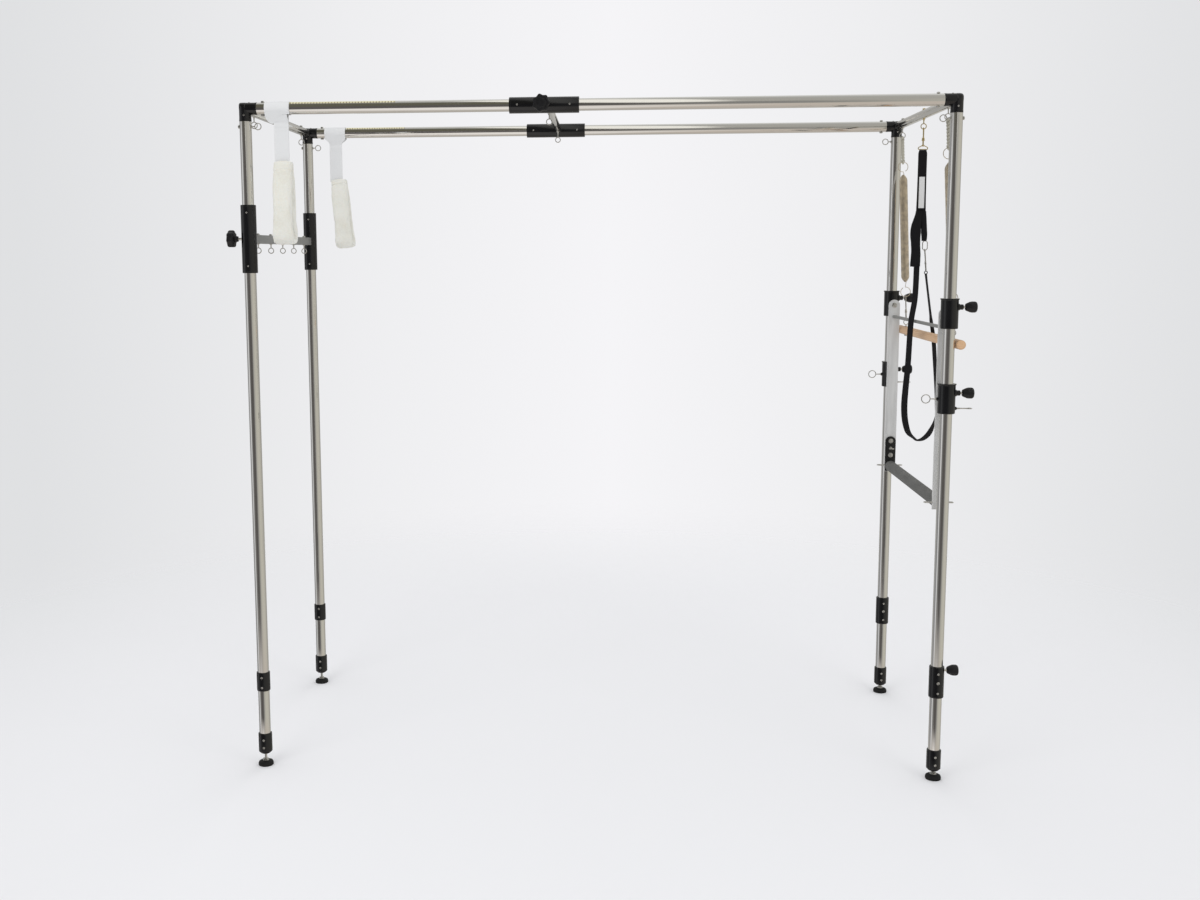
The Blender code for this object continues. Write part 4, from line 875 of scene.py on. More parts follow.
def dress_guides(slider, level, along, across, turn, insets):
    """A slider's two sleeves, drawn along Z before their turn, each with rims and screws."""
    bore = TUBE_RADIUS + FEATHER
    for end, y in POST_Y.items():
        here = level @ move(0, y)
        low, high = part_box(f"{slider}_sleeve_{end}")
        start, stop = low[along], high[along]
        radius = (high[across] - low[across]) / 2
        shell = lathe([(radius, start), (radius, stop), (bore, stop), (bore, start)], 56, True,
                      0.0016)
        rim = placed(ring(radius - 0.0007, 0.0009, 56, 10), ALONG_Y)
        rims = [placed(rim, up(z)) for z in (start + 0.006, stop - 0.006)]
        piece(f"{slider}_guide_{end}", placed(merged(shell, *rims), here, turn), "black",
              f"{slider}_slider", f"{slider}_sleeve_{end}")
        screws = [front_screw(here @ Matrix.Translation(turn @ Vector((0, 0, z))), 0.0032, 0.0016,
                              radius - 0.0005) for z in (start + insets[0], stop - insets[1])]
        piece(f"{slider}_guide_screws_{end}", merged(*screws), "steel", f"{slider}_slider")


def dress_star_knob(slider, base):
    body = f"{slider}_knob"
    head, stem = star_knob()
    piece(f"{slider}_star_knob", placed(head, base), "knob", body, body)
    piece(f"{slider}_star_knob_stem", placed(stem, base), "steel", body)


def dress_mid_slider():
    dress_guides("mid", up(RAIL_Z), 0, 2, ALONG_X, (0.027, 0.031))
    x = middle("mid_crossbar").x
    low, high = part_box("mid_crossbar")
    tube = rod(MID_BAR_RADIUS, low.y - 0.001, high.y + 0.001)
    piece("mid_cross_tube", placed(tube, move(x, 0, RAIL_Z), ALONG_Y), "chrome_y", "mid_slider",
          "mid_crossbar")
    for end, sign in ENDS.items():
        bolt = eyebolt(MID_EYE_DROP, MID_BAR_RADIUS, SMALL_EYE_RADIUS)
        piece(f"mid_eyebolt_{end}", placed(bolt, move(x, MID_Y + sign * MID_EYE_Y, RAIL_Z)),
              "steel", "mid_slider")
    dress_star_knob("mid", move(middle("mid_knob").x, POST_Y["front"], RAIL_Z) @ ALONG_MINUS_Y)


def dress_left_slider():
    x = POST_X["left"]
    dress_guides("left", move(x), 2, 1, NO_TURN, (0.024, 0.026))
    low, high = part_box("left_crossbar")
    height = 0.030
    bar = block(0.020, high.y - low.y - 0.0006, height, 0.0022)
    piece("left_cross_bar", placed(bar, move(x, MID_Y, LEFT_BAR_Z)), "grey", "left_slider",
          "left_crossbar")
    for index in range(5):
        bolt = eyebolt(LEFT_EYE_DROP, height / 2, SMALL_EYE_RADIUS, LOW_NUT_RADIUS)
        y = MID_Y + (index - 2) * LEFT_EYE_STEP
        piece(f"left_eyebolt_{index + 1}", placed(bolt, move(x, y, LEFT_BAR_Z)), "steel",
              "left_slider")
    dress_star_knob("left", move(x, POST_Y["front"], LEFT_BAR_Z) @ ALONG_MINUS_X)


# Collars on the right posts

# Reaches from the post's middle, the first one inside the collar's wall
BOSS_ROOT = 0.024
PLUNGER_SEAT = 0.044


def collar_shell(low, high, plunger_z):
    """A flanged collar round Z whose boss for the plunger points along +X."""
    radius = 0.0285
    flange = 0.0305
    bore = TUBE_RADIUS + FEATHER
    shell = lathe([(flange, high), (flange, high - 0.0036), (radius, high - 0.0052),
                   (radius, low + 0.002), (radius - 0.001, low), (bore, low), (bore, high)], 64,
                  True, 0.0008)
    boss_radius = 0.0090
    boss = lathe([(0, BOSS_ROOT), (0.0135, BOSS_ROOT), (0.0110, 0.0315), (boss_radius, 0.0335),
                  (boss_radius, PLUNGER_SEAT - 0.0012), (0.0078, PLUNGER_SEAT),
                  (0, PLUNGER_SEAT)], 40, soft=0.0008)
    return merged(shell, placed(boss, up(plunger_z), ALONG_X))


def dress_pull_knob(name, body, base, seat=PLUNGER_SEAT, stem_radius=0.004):
    grip, stem = fluted_knob(seat, TUBE_RADIUS + 0.0006, stem_radius)
    piece(name, placed(grip, base @ ALONG_X), "knob", body, body)
    piece(name + "_pin", placed(stem, base @ ALONG_X), "steel", body)


def dress_collars():
    """The push bar's collars with their pivot bosses, and below them those with two eyes."""
    bore = 0.0056
    boss_radius = 0.0130
    boss_end = 0.0507
    boss = lathe([(bore, BOSS_ROOT), (0.0165, BOSS_ROOT), (boss_radius, 0.032),
                  (boss_radius, boss_end), (bore, boss_end)], 40, True, 0.0006)
    for end in ENDS:
        here = move(RIGHT_X, POST_Y[end])
        low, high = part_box(f"upper_collar_{end}")
        plunger_z = middle(f"upper_plunger_{end}").z
        inward = ALONG_MINUS_Y if end == "rear" else ALONG_Y
        shape = merged(collar_shell(low.z, high.z, plunger_z),
                       placed(boss, up(PIVOT_Z), inward))
        piece(f"pivot_collar_{end}", placed(shape, here), "black", "push_carriage",
              f"upper_collar_{end}")
        dress_pull_knob(f"upper_pull_knob_{end}", f"upper_plunger_{end}",
                        here @ up(plunger_z))

    inner_x, inner_z = 0.0675, 1.3196
    outer_x, outer_z = 0.0740, 1.288
    cone_tip = 0.0345
    cone = lathe([(0, 0.025), (0.0085, 0.025), (0.0042, cone_tip), (0, cone_tip)], 32,
                 soft=0.0010)
    foot = 0.0036
    seat = 0.033
    eyes = merged(placed(eye_and_shank(inner_x - seat, COLLAR_EYE_RADIUS, foot),
                         move(-inner_x, 0, inner_z), ALONG_X),
                  placed(eye_and_shank(outer_x - seat, SMALL_EYE_RADIUS, foot),
                         move(outer_x, 0, outer_z), ALONG_MINUS_X, QUARTER_TURN))
    for end in ENDS:
        here = move(RIGHT_X, POST_Y[end])
        body = f"lower_collar_{end}"
        low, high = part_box(body)
        plunger_z = middle(f"lower_plunger_{end}").z
        shape = merged(collar_shell(low.z, high.z, plunger_z),
                       placed(cone, up(inner_z), ALONG_MINUS_X),
                       placed(cone, up(outer_z), ALONG_X))
        piece(f"hook_collar_{end}", placed(shape, here), "black", body, body)
        piece(f"collar_eyes_{end}", placed(eyes, here), "steel", body)
        dress_pull_knob(f"lower_pull_knob_{end}", f"lower_plunger_{end}",
                        here @ up(plunger_z))

    base = move(RIGHT_X, POST_Y["front"], LEG_KNOB_Z)
    dress_pull_knob("leg_pull_knob", "leg_knob", base, 0.027, 0.0045)


# Push-through bar

def dress_push_bar():
    arm_place = 0.381
    thickness = 0.008
    cheek_place = arm_place - 0.0053
    half = 0.0215
    arm_foot = 0.935
    cheek_half = 0.020
    cheek_foot = 0.937
    cheek_round = 1.056
    cheek_thickness = 0.005
    bolt_heights = (1.001, 1.058)
    eye_z = 1.0295
    edge_eye_z = 0.9595
    eye_reach = 0.018
    outline = [(-half, arm_foot), (half, arm_foot)] + arc(0, PIVOT_Z, half, 0, 180, 28)
    flat = placed(plate(outline, thickness, 0.0009), move(0, thickness / 2), ALONG_MINUS_Y)
    outline = [(-cheek_half, cheek_foot), (cheek_half, cheek_foot)]
    outline += arc(0, cheek_round, cheek_half, 0, 180, 24)
    cheek = placed(plate(outline, cheek_thickness, 0.0006), move(0, cheek_thickness / 2),
                   ALONG_MINUS_Y)
    head = merged(hex_head(0.0082, 0.0048), rod(0.0098, -0.0008, 0.0008, 40, 0.0002))
    pivot = merged(placed(head, ALONG_MINUS_Y), placed(rod(0.0050, thickness, 0.034, 32), ALONG_Y))
    eye = placed(eye_and_shank(eye_reach, SMALL_EYE_RADIUS, 0.0050), move(0, -eye_reach, eye_z),
                 ALONG_Y)
    edge_eye = eye_and_shank(eye_reach, SMALL_EYE_RADIUS, 0.0036)
    edge_reach = half + eye_reach
    inner_nut = hex_head(0.0084, 0.0062)
    outer_nut = hex_head(0.0060, 0.0056)
    for end in ENDS:
        centre = move(RIGHT_X, MID_Y)
        if end == "front":
            centre = centre @ Matrix.Rotation(pi, 4, "Z")
        here = centre @ move(0, arm_place)
        inner_here = centre @ move(0, cheek_place)
        piece(f"arm_{end}", placed(flat, here), "arm", "push_bar", f"push_arm_{end}")
        piece(f"grip_cheek_{end}", placed(cheek, inner_here), "bracket", "push_bar",
              f"grip_bracket_{end}")
        piece(f"pivot_bolt_{end}", placed(pivot, here, up(PIVOT_Z)), "steel", "push_bar")
        parts = [placed(eye, inner_here)]
        for z in bolt_heights:
            parts.append(placed(inner_nut, inner_here, up(z), ALONG_MINUS_Y))
        for z in (*bolt_heights, eye_z):
            parts.append(placed(outer_nut, here, move(0, thickness, z), ALONG_Y))
        for x, inward in ((-edge_reach, ALONG_X), (edge_reach, ALONG_MINUS_X)):
            parts.append(placed(edge_eye, here, move(x, thickness / 2, edge_eye_z), inward,
                                QUARTER_TURN))
        piece(f"arm_fittings_{end}", merged(*parts), "steel", "push_bar")
    low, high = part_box("push_crossbar")
    bar = block(*(high - low), 0.0012)
    piece("arm_crossbar", placed(bar, move(*middle("push_crossbar"))), "grey", "push_bar",
          "push_crossbar")
    low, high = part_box("push_grip")
    grip = round_ended_bar(low.y, high.y, (high.z - low.z) / 2, (0.0045, 0.001), (0.0020, 0.006))
    centre = middle("push_grip")
    piece("foam_grip", placed(grip, move(centre.x, 0, centre.z), ALONG_Y), "foam", "push_bar",
          "push_grip")


# Roll-down bar, its springs and hooks

DOWEL_Z = 1.500
DOWEL_RADIUS = 0.016
DOWEL_EYE_RISE = 0.033
DOWEL_EYE_Y = 0.345
HOOK_WIRE = 0.0017
HOOK_PLAY = 0.0010
RING_RADIUS = 0.0185
RING_WIRE = 0.0012
RING_TOP = 0.119
RING_BOTTOM = 0.599
COIL_BOTTOM = 0.560
TIE_RADIUS = 0.0036


def hanging(end):
    """Where one spring hangs: a frame at the end bar's eye with Z up along the spring."""
    sign = ENDS[end]
    top = Vector((RIGHT_X, MID_Y + sign * BAR_EYE_Y, RAIL_Z - BAR_EYE_DROP))
    bottom = Vector((middle("roll_bar").x, MID_Y + sign * DOWEL_EYE_Y, DOWEL_Z + DOWEL_EYE_RISE))
    axis_z = (top - bottom).normalized()
    axis_y = axis_z.cross(X_WAY).normalized()
    axis_x = axis_y.cross(axis_z)
    turn = Matrix((axis_x, axis_y, axis_z)).transposed().to_4x4()
    return Matrix.Translation(top) @ turn, (top - bottom).length


def close_coil():
    """A close-wound spring with drawn-in ends and a wire ring at each, hanging along -Z."""
    radius = 0.0142
    top = 0.149
    curls = 166
    steps_per_curl = 20
    end_curls = 9.0

    def end_ring(centre, sign):
        """A nearly closed ring whose tail runs into the coil's end."""
        circle = arc(0, 0, RING_RADIUS, -62, 272, 48)
        return [(sign * u, 0.0, sign * v - centre) for u, v in circle]

    path = end_ring(RING_TOP, 1)
    steps = curls * steps_per_curl
    for step in range(steps + 1):
        turn = step / steps_per_curl
        share = clamped(min(turn, curls - turn) / end_curls)
        here = radius * (0.22 + 0.78 * sin(share * pi / 2))
        angle = 2 * pi * turn
        path.append((here * cos(angle), here * sin(angle),
                     -top - (COIL_BOTTOM - top) * step / steps))
    path += end_ring(RING_BOTTOM, -1)[::-1]
    return wire(path, 0.00122, resolution=2)


def snap_hook(top, bottom, half, body_radius):
    """A spring hook in the YZ plane: an open wire bow, a gate across it and a ring below."""
    length = top - bottom
    bow_low = bottom + length * 0.42
    ring_top = bottom + length * 0.34
    bow = arc(0, top - half, half, -30, 180, 16)
    bow += [(-half, bow_low + half * 1.2), (-half * 0.4, bow_low), (0, bow_low - half * 0.5)]
    gate = [(half * 0.92, top - half * 1.4), (half * 0.55, bow_low + half * 0.5)]
    eye = arc(0, ring_top - half, half, 0, 180, 14) + arc(0, bottom + half, half, 180, 360, 14)
    wires = [wire([(0, y, z) for y, z in line], HOOK_WIRE * share, cyclic=line is eye)
             for line, share in ((bow, 0.96), (gate, 0.75), (eye, 0.9))]
    barrel = lathe([(0, ring_top - 0.003), (body_radius * 0.6, ring_top - 0.003),
                    (body_radius * 0.75, ring_top + 0.002), (body_radius * 0.55, bow_low - 0.003),
                    (body_radius * 0.62, bow_low + 0.003), (0, bow_low + 0.004)], 32, soft=0.0008)
    return merged(*wires, barrel)


def twisted_tie(top, bottom, half):
    """A loop of thick cord between two rings, its two legs twisted round each other."""
    turns = 4
    steps = 120
    strand_length = 0.013
    low = bottom + half
    high = top - half
    legs = []
    for sign in (1, -1):
        leg = []
        for step in range(steps + 1):
            share = step / steps
            angle = pi * turns * 2 * share
            reach = TIE_RADIUS + (half - TIE_RADIUS) * abs(2 * share - 1) ** 8
            leg.append(Vector((sign * reach * sin(angle), sign * reach * cos(angle),
                               high + (low - high) * share)))
        legs.append(leg)
    crown = [Vector((0, y, z)) for y, z in arc(0, high, half, 180, 0, 12)][1:-1]
    foot = [Vector((0, y, z)) for y, z in arc(0, low, half, 0, -180, 12)][1:-1]
    route = crown + legs[0] + foot + legs[1][::-1]
    travelled = [0.0]
    for first, second in zip(route, route[1:] + route[:1]):
        travelled.append(travelled[-1] + (second - first).length)
    twists = round(travelled[-1] / strand_length)
    strands = []
    for strand in range(3):
        points = []
        for index, point in enumerate(route):
            along = (route[(index + 1) % len(route)] - route[index - 1]).normalized()
            side = along.orthogonal() if abs(along.x) > 0.9 else along.cross(X_WAY)
            side.normalize()
            angle = 2 * pi * (twists * travelled[index] / travelled[-1] + strand / 3)
            points.append(point + (side * sin(angle) + side.cross(along) * cos(angle))
                          * TIE_RADIUS * 0.50)
        strands.append(wire(points, TIE_RADIUS * 0.56, cyclic=True, resolution=2))
    return merged(*strands)


def dress_roll_bar():
    """The dowel with its eyes, and the springs with their ties above and hooks below."""
    low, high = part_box("roll_bar")
    x = middle("roll_bar").x
    dowel = round_ended_bar(low.y, high.y, DOWEL_RADIUS, (0.0055, 0.0015), (0.0025, 0.0065))
    piece("wooden_dowel", placed(dowel, move(x, 0, DOWEL_Z), ALONG_Y), "wood", "roll_bar",
          "roll_bar")
    bolt = eyebolt(DOWEL_EYE_RISE, DOWEL_RADIUS, SMALL_EYE_RADIUS, LOW_NUT_RADIUS, LOW_NUT_RADIUS)
    bolts = [placed(bolt, move(x, MID_Y + sign * DOWEL_EYE_Y, DOWEL_Z), UPSIDE_DOWN)
             for sign in ENDS.values()]
    piece("dowel_eyebolts", merged(*bolts), "steel", "roll_bar")

    coil = close_coil()
    rest = HOOK_WIRE + HOOK_PLAY
    gap = TIE_RADIUS + 0.0008
    tie = twisted_tie(gap + EYE_WIRE - EYE_RADIUS, RING_RADIUS - RING_TOP - RING_WIRE - gap,
                      0.0056)
    for end in ENDS:
        hang, length = hanging(end)
        spring = piece(f"close_spring_{end}", placed(coil, hang), "spring", None, f"spring_{end}")
        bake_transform(spring)
        piece(f"spring_tie_{end}", placed(tie, hang), "tie", "springs", f"upper_snap_{end}")
        hook = snap_hook(RING_WIRE + rest - RING_BOTTOM - RING_RADIUS,
                         SMALL_EYE_RADIUS - EYE_WIRE - rest - length, 0.0050, 0.0062)
        piece(f"bar_hook_{end}", placed(hook, hang), "hook", "roll_bar", f"lower_snap_{end}")


# Webbing

def webbing(centres, across, widths, thickness):
    """A strap lofted along a line, each station with its own width and width direction."""
    edge = thickness * 0.5
    rings = []
    lengths = []
    travelled = 0.0
    for index, centre in enumerate(centres):
        before = centres[max(index - 1, 0)]
        after = centres[min(index + 1, len(centres) - 1)]
        along = (after - before).normalized()
        side = (across[index] - along * across[index].dot(along)).normalized()
        normal = along.cross(side)
        half = widths[index] / 2
        inner = [-half + edge, -half * 0.5, 0.0, half * 0.5, half - edge]
        section = [(-half, 0.0)] + [(u, thickness / 2) for u in inner]
        section += [(half, 0.0)] + [(u, -thickness / 2) for u in inner[::-1]]
        rings.append([centre + side * u + normal * v for u, v in section])
        if index:
            travelled += (centre - centres[index - 1]).length
        lengths.append(travelled)
    rounds = [u for u, v in section]
    return loft(rings, lengths, rounds + rounds[:1])


def smooth_route(points, steps):
    """Points on a smooth curve through the given ones, with every value blended alike."""
    result = []
    count = len(points)
    for index in range(count - 1):
        previous = points[max(index - 1, 0)]
        following = points[min(index + 2, count - 1)]
        for step in range(steps):
            t = step / steps
            blended = []
            for a, b, c, d in zip(previous, points[index], points[index + 1], following):
                blended.append(0.5 * (2 * b + (c - a) * t + (2 * a - 5 * b + 4 * c - d) * t ** 2
                                      + (3 * b - 3 * c + d - a) * t ** 3))
            result.append(tuple(blended))
    result.append(tuple(points[-1]))
    return result


def stitches(start, end, normal, pitch=0.0032):
    """A line of thread stitches lying on a surface, from one point to another."""
    line = end - start
    count = max(2, int(line.length / pitch))
    lift = normal * 0.0003
    shapes = []
    for index in range(count):
        low = start + line * (index + 0.15) / count
        high = start + line * (index + 0.85) / count
        shapes.append(wire([low - lift, low + lift, high + lift, high - lift], 0.00028,
                           resolution=0))
    return shapes


STRAP_THICKNESS = 0.0022
STRAP_TOP = 2.168
PATCH_LOW = 1.962
PATCH_HIGH = 2.073
PAD_TOP = 1.950
PAD_BOTTOM = 1.753
SIDE_RING_X = RIGHT_X + 0.025
SIDE_RING_Z = 1.731
SIDE_RING_RADIUS = 0.0052

# The loop from its ring round to the pad: X from the post's middle, Z, and its turn in degrees
LOOP_LINE = [
    (0.025, SIDE_RING_Z - SIDE_RING_RADIUS, 0), (0.030, 1.690, 2), (0.0455, 1.585, 0),
    (0.0500, 1.553, -8), (0.0590, 1.500, -13), (0.0650, 1.440, -14), (0.0745, 1.310, -4),
    (0.0770, 1.240, 4), (0.0735, 1.190, 24), (0.0600, 1.150, 50), (0.0400, 1.126, 45),
    (0.0170, 1.117, 22), (0.0020, 1.1235, 12), (-0.0240, 1.155, 33), (-0.0370, 1.240, 36),
    (-0.0285, 1.398, 30), (-0.0230, 1.545, 28), (-0.0110, 1.640, 28),
    (-0.0085, PAD_BOTTOM + 0.008, 30),
]
# The pad's two lobes: Z, and the low and high X from the post's middle
LEFT_LOBE = [
    (PAD_TOP + 0.002, -0.0175, 0.0040), (1.940, -0.0195, 0.0040), (1.915, -0.0275, 0.0030),
    (1.890, -0.0340, 0.0020), (1.862, -0.0345, 0.0015), (1.835, -0.0315, 0.0010),
    (1.800, -0.0295, 0.0035), (1.775, -0.0315, 0.0035), (PAD_BOTTOM, -0.0320, 0.0035),
]
RIGHT_LOBE = [
    (PAD_TOP + 0.001, -0.001, 0.0185), (1.930, 0.0000, 0.0205), (1.900, 0.0020, 0.0228),
    (1.875, 0.0035, 0.0245), (1.856, 0.0050, 0.0248), (1.8445, 0.0060, 0.0225),
]


def strap_spot(x, y, z):
    """A point given from the line that the strap hangs on."""
    return Vector((RIGHT_X + x, MID_Y + y, z))


def strap_stations(points, steps):
    """Centres and width directions of the strap from X offset, Z and turn triples."""
    centres = []
    across = []
    route = smooth_route(points, steps)
    for index, (x, z, angle) in enumerate(route):
        centres.append(strap_spot(x, 0, z))
        ahead = route[min(index + 1, len(route) - 1)]
        behind = route[max(index - 1, 0)]
        along = Vector((ahead[0] - behind[0], 0, ahead[1] - behind[1])).normalized()
        level = along.cross(Y_WAY)
        across.append(Y_WAY * cos(radians(angle)) + level * sin(radians(angle)))
    return centres, across


def pad_lobe(rows, thickness):
    """A stuffed length of webbing from rows of Z, low X and high X."""
    rings = []
    lengths = []
    sides = 36
    for z, low, high in smooth_route(rows, 6):
        half = (high - low) / 2
        centre = (high + low) / 2
        row = []
        for u, v in soft_outline(sides, 0.62, 0.80):
            point = strap_spot(centre + half * u, thickness / 2 * v, z)
            ripple = noise.noise(point * 60.0) * 0.0006
            row.append(point + Vector((u, v, 0)).normalized() * ripple)
        rings.append(row)
        lengths.append(z)
    rounds = [thickness * 3 * side / sides for side in range(sides + 1)]
    return loft(rings, lengths, rounds)


def strap_seam(from_x, from_z, to_x, to_z, depth):
    """Stitches between two points of the strap's face, which lies at a depth."""
    return stitches(strap_spot(from_x, depth, from_z), strap_spot(to_x, depth, to_z), Y_WAY)


def dress_safety_strap():
    strap = "safety_strap"
    centres, across = strap_stations(LOOP_LINE, 14)
    loop = webbing(centres, across, [0.030] * len(centres), STRAP_THICKNESS)
    piece("strap_loop", loop, "black_web", strap, strap)

    heights = (STRAP_TOP, STRAP_TOP - 0.012, 2.08, 2.00, PAD_TOP - 0.008)
    upper = webbing([strap_spot(0, 0, z) for z in heights], [X_WAY] * 5,
                    [0.026, 0.0315, 0.0315, 0.0325, 0.035], STRAP_THICKNESS * 2)
    face = -STRAP_THICKNESS - 0.0001
    patch = webbing([strap_spot(0, face - 0.0003, z) for z in (PATCH_LOW, PATCH_HIGH)],
                    [X_WAY] * 2, [0.020] * 2, 0.0008)
    piece("strap_patch", patch, "patch", strap)
    piece("strap_top", upper, "black_web", strap)

    fold = webbing([strap_spot(-0.0225 - 0.0015 * (index % 2), -0.0102, z)
                    for index, z in enumerate((1.812, 1.790, 1.768, PAD_BOTTOM - 0.001))],
                   [Vector((1, 0.1, 0))] * 4, [0.0190] * 4, STRAP_THICKNESS)
    pad = piece("strap_pad", pad_lobe(LEFT_LOBE, 0.020), "pad", strap)
    side_pad = piece("strap_pad_side", pad_lobe(RIGHT_LOBE, 0.016), "pad", strap)
    piece("strap_pad_flap", fold, "black_web", strap)

    thread = []
    for z in (STRAP_TOP - 0.010, STRAP_TOP - 0.022):
        thread += strap_seam(-0.013, z, 0.013, z, face)
    for x in (-0.0087, 0.0087):
        thread += strap_seam(x, PATCH_LOW + 0.001, x, PATCH_HIGH - 0.001, face - 0.0006)
    pad_face = -0.0108
    thread += strap_seam(-0.0165, 1.944, 0.0170, 1.944, pad_face)
    piece("strap_thread", merged(*thread), "pad", strap)
    seam = strap_seam(-0.0300, 1.762, 0.0020, 1.762, pad_face)
    pad_thread = piece("strap_pad_thread", merged(*seam), "pad", strap)
    # The push bar's crossbar reaches the pad when its collars are raised, on either side of it.
    for soft in (pad, pad_thread):
        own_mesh(soft)
    dress_strap_fittings()


def dress_strap_fittings():
    half = 0.0085
    top = 1.8445
    bottom = 1.8115
    x = 0.0185
    oval = arc(x, top - half, half, 0, 180, 20) + arc(x, bottom + half, half, 180, 360, 20)
    oval = wire([strap_spot(u, 0, v) for u, v in oval], EYE_WIRE, cyclic=True)
    low = SIDE_RING_Z + SIDE_RING_RADIUS
    lean = Matrix.Shear("XY", 4, ((RIGHT_X + x - SIDE_RING_X) / (bottom - low), 0.0))
    hook = placed(snap_hook(bottom + 0.0032 - low, -0.0008, 0.0046, 0.0052),
                  move(SIDE_RING_X, MID_Y, low), lean)
    piece("strap_side_hook", merged(oval, hook), "steel", "safety_strap")
    small = placed(ring(SIDE_RING_RADIUS, EYE_WIRE), move(SIDE_RING_X, MID_Y, SIDE_RING_Z))
    piece("strap_side_ring", small, "bracket", "safety_strap")

    half = 0.0165
    crown = half * 0.42
    height = 0.015
    low = STRAP_TOP + 0.0003 + EYE_WIRE
    outline = [(-half, 0), (-half, 0.0068)] + arc(0, height - crown, crown, 150, 30, 8)
    outline += [(half, 0.0068), (half, 0)]
    dee = wire([strap_spot(u, 0, low + v) for u, v in softened(outline, 0.003, True)], EYE_WIRE,
               cyclic=True)
    top = RAIL_Z - STRAP_EYE_DROP - SMALL_EYE_RADIUS + EYE_WIRE + HOOK_WIRE + HOOK_PLAY
    hook = placed(snap_hook(top, low + height - 0.0046, 0.0050, 0.0078), move(RIGHT_X, MID_Y))
    piece("strap_swivel", merged(dee, hook), "brass", "safety_strap", "strap_snap")


# Padded loops

LOOP_X = {"front": -1.0655, "rear": -1.062}
LOOP_STRAP_X = {"front": -1.0555, "rear": -1.0625}
FLEECE_X = {"front": -1.052, "rear": -1.0535}
STRAP_BOTTOM = {"front": 2.127, "rear": 2.119}
FLEECE_LEAN = {"front": 0.0, "rear": radians(5.0)}
FLEECE_SEED = {"front": 3.0, "rear": 11.0}
SEAM_DROP = {"front": 0.022, "rear": 0.010}
SEAM_DEPTH = {"front": 0.0016, "rear": 0.0034}
FLEECE_TOP = 0.014
FLEECE_LENGTH = 0.287
FLEECE_HALF = 0.040
FLEECE_WIDTH = 0.078
FLEECE_THICKNESS = 0.0215
FLEECE_SWELL = 0.0012
CLOTH_FRAMES = 20


def flipped(line):
    """A line run backwards on the other side of its second axis."""
    return [(-u, v) for u, v in line[::-1]]


def dress_rail_loop(end, body):
    """Webbing from inside the fleece, up, round the rail and down again."""
    y = POST_Y[end]
    layer = 0.0019
    radius = TUBE_RADIUS + 0.0006 + layer / 2
    drop = 0.046
    split = RAIL_Z - drop
    inside = STRAP_BOTTOM[end] - 0.020
    away = acos(radius / drop)
    wide = 0.084
    narrow = 0.050
    side = [(layer * 0.55, inside + (split - inside) * step / 24) for step in range(25)]
    start = -pi / 2 + away
    tangent = (radius * cos(start), RAIL_Z + radius * sin(start))
    side += [tuple(a + (b - a) * step / 12 for a, b in zip(side[-1], tangent))
             for step in range(1, 12)]
    steps = 40
    round_part = []
    for step in range(steps + 1):
        angle = start + (2 * pi - 2 * away) * step / steps
        round_part.append((radius * cos(angle), RAIL_Z + radius * sin(angle)))
    centres = []
    widths = []
    for v, z in side + round_part + flipped(side):
        share = eased((z - (split + 0.004)) / 0.019)
        x = LOOP_STRAP_X[end] + (LOOP_X[end] - LOOP_STRAP_X[end]) * share
        crease = 0.0007 * noise.noise(Vector((v * 90, z * 45, y)))
        centres.append(Vector((x, y + v + crease * (1 - share), z)))
        widths.append(narrow + (wide - narrow) * share)
    strap = piece(f"rail_strap_{end}", webbing(centres, [X_WAY] * len(centres), widths, layer),
                  "white_web", None, f"loop_strap_{end}")
    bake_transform(strap)
    thread = []
    for z in (split - 0.016, split - 0.028):
        for way in (-1, 1):
            ends = [Vector((LOOP_STRAP_X[end] + x, y + way * layer * 1.1, z))
                    for x in (-0.021, 0.021)]
            thread += stitches(*ends, Y_WAY * way, 0.0034)
    piece(f"rail_strap_thread_{end}", merged(*thread), "white_web", body)


def fleece_pivot(end):
    """Where a fleece turns about its strap: the middle of the arc that its top follows."""
    lean = FLEECE_LEAN[end]
    edge = LOOP_STRAP_X[end] + 0.025 - FLEECE_X[end]
    top = STRAP_BOTTOM[end] - 0.0003 / cos(lean) - edge * sin(lean) / cos(lean)
    return Vector((FLEECE_X[end] + FLEECE_TOP * sin(lean), POST_Y[end],
                   top - FLEECE_TOP * cos(lean)))


def swollen(mesh, voxel, pressure, furthest):
    """A closed shape blown up a little as cloth, so that it gets plump sides and soft creases."""
    def even(obj):
        remesh = obj.modifiers.new("even", "REMESH")
        remesh.mode = "VOXEL"
        remesh.voxel_size = voxel

    def blow(obj):
        settings = obj.modifiers.new("cloth", "CLOTH").settings
        settings.quality = 5
        settings.use_pressure = True
        settings.uniform_pressure_force = pressure
        settings.effector_weights.gravity = 0.0
        for step in range(1, CLOTH_FRAMES + 1):
            bpy.context.scene.frame_set(step)

    def finer(obj):
        obj.modifiers.new("finer", "SUBSURF").levels = 1

    start = evaluated(mesh, even)
    blown = evaluated(start.copy(), blow)
    bpy.context.scene.frame_set(1)
    for before, after in zip(start.vertices, blown.vertices):
        moved = after.co - before.co
        if moved.length > furthest:
            moved *= furthest / moved.length
        before.co += moved
    return evaluated(start, finer)


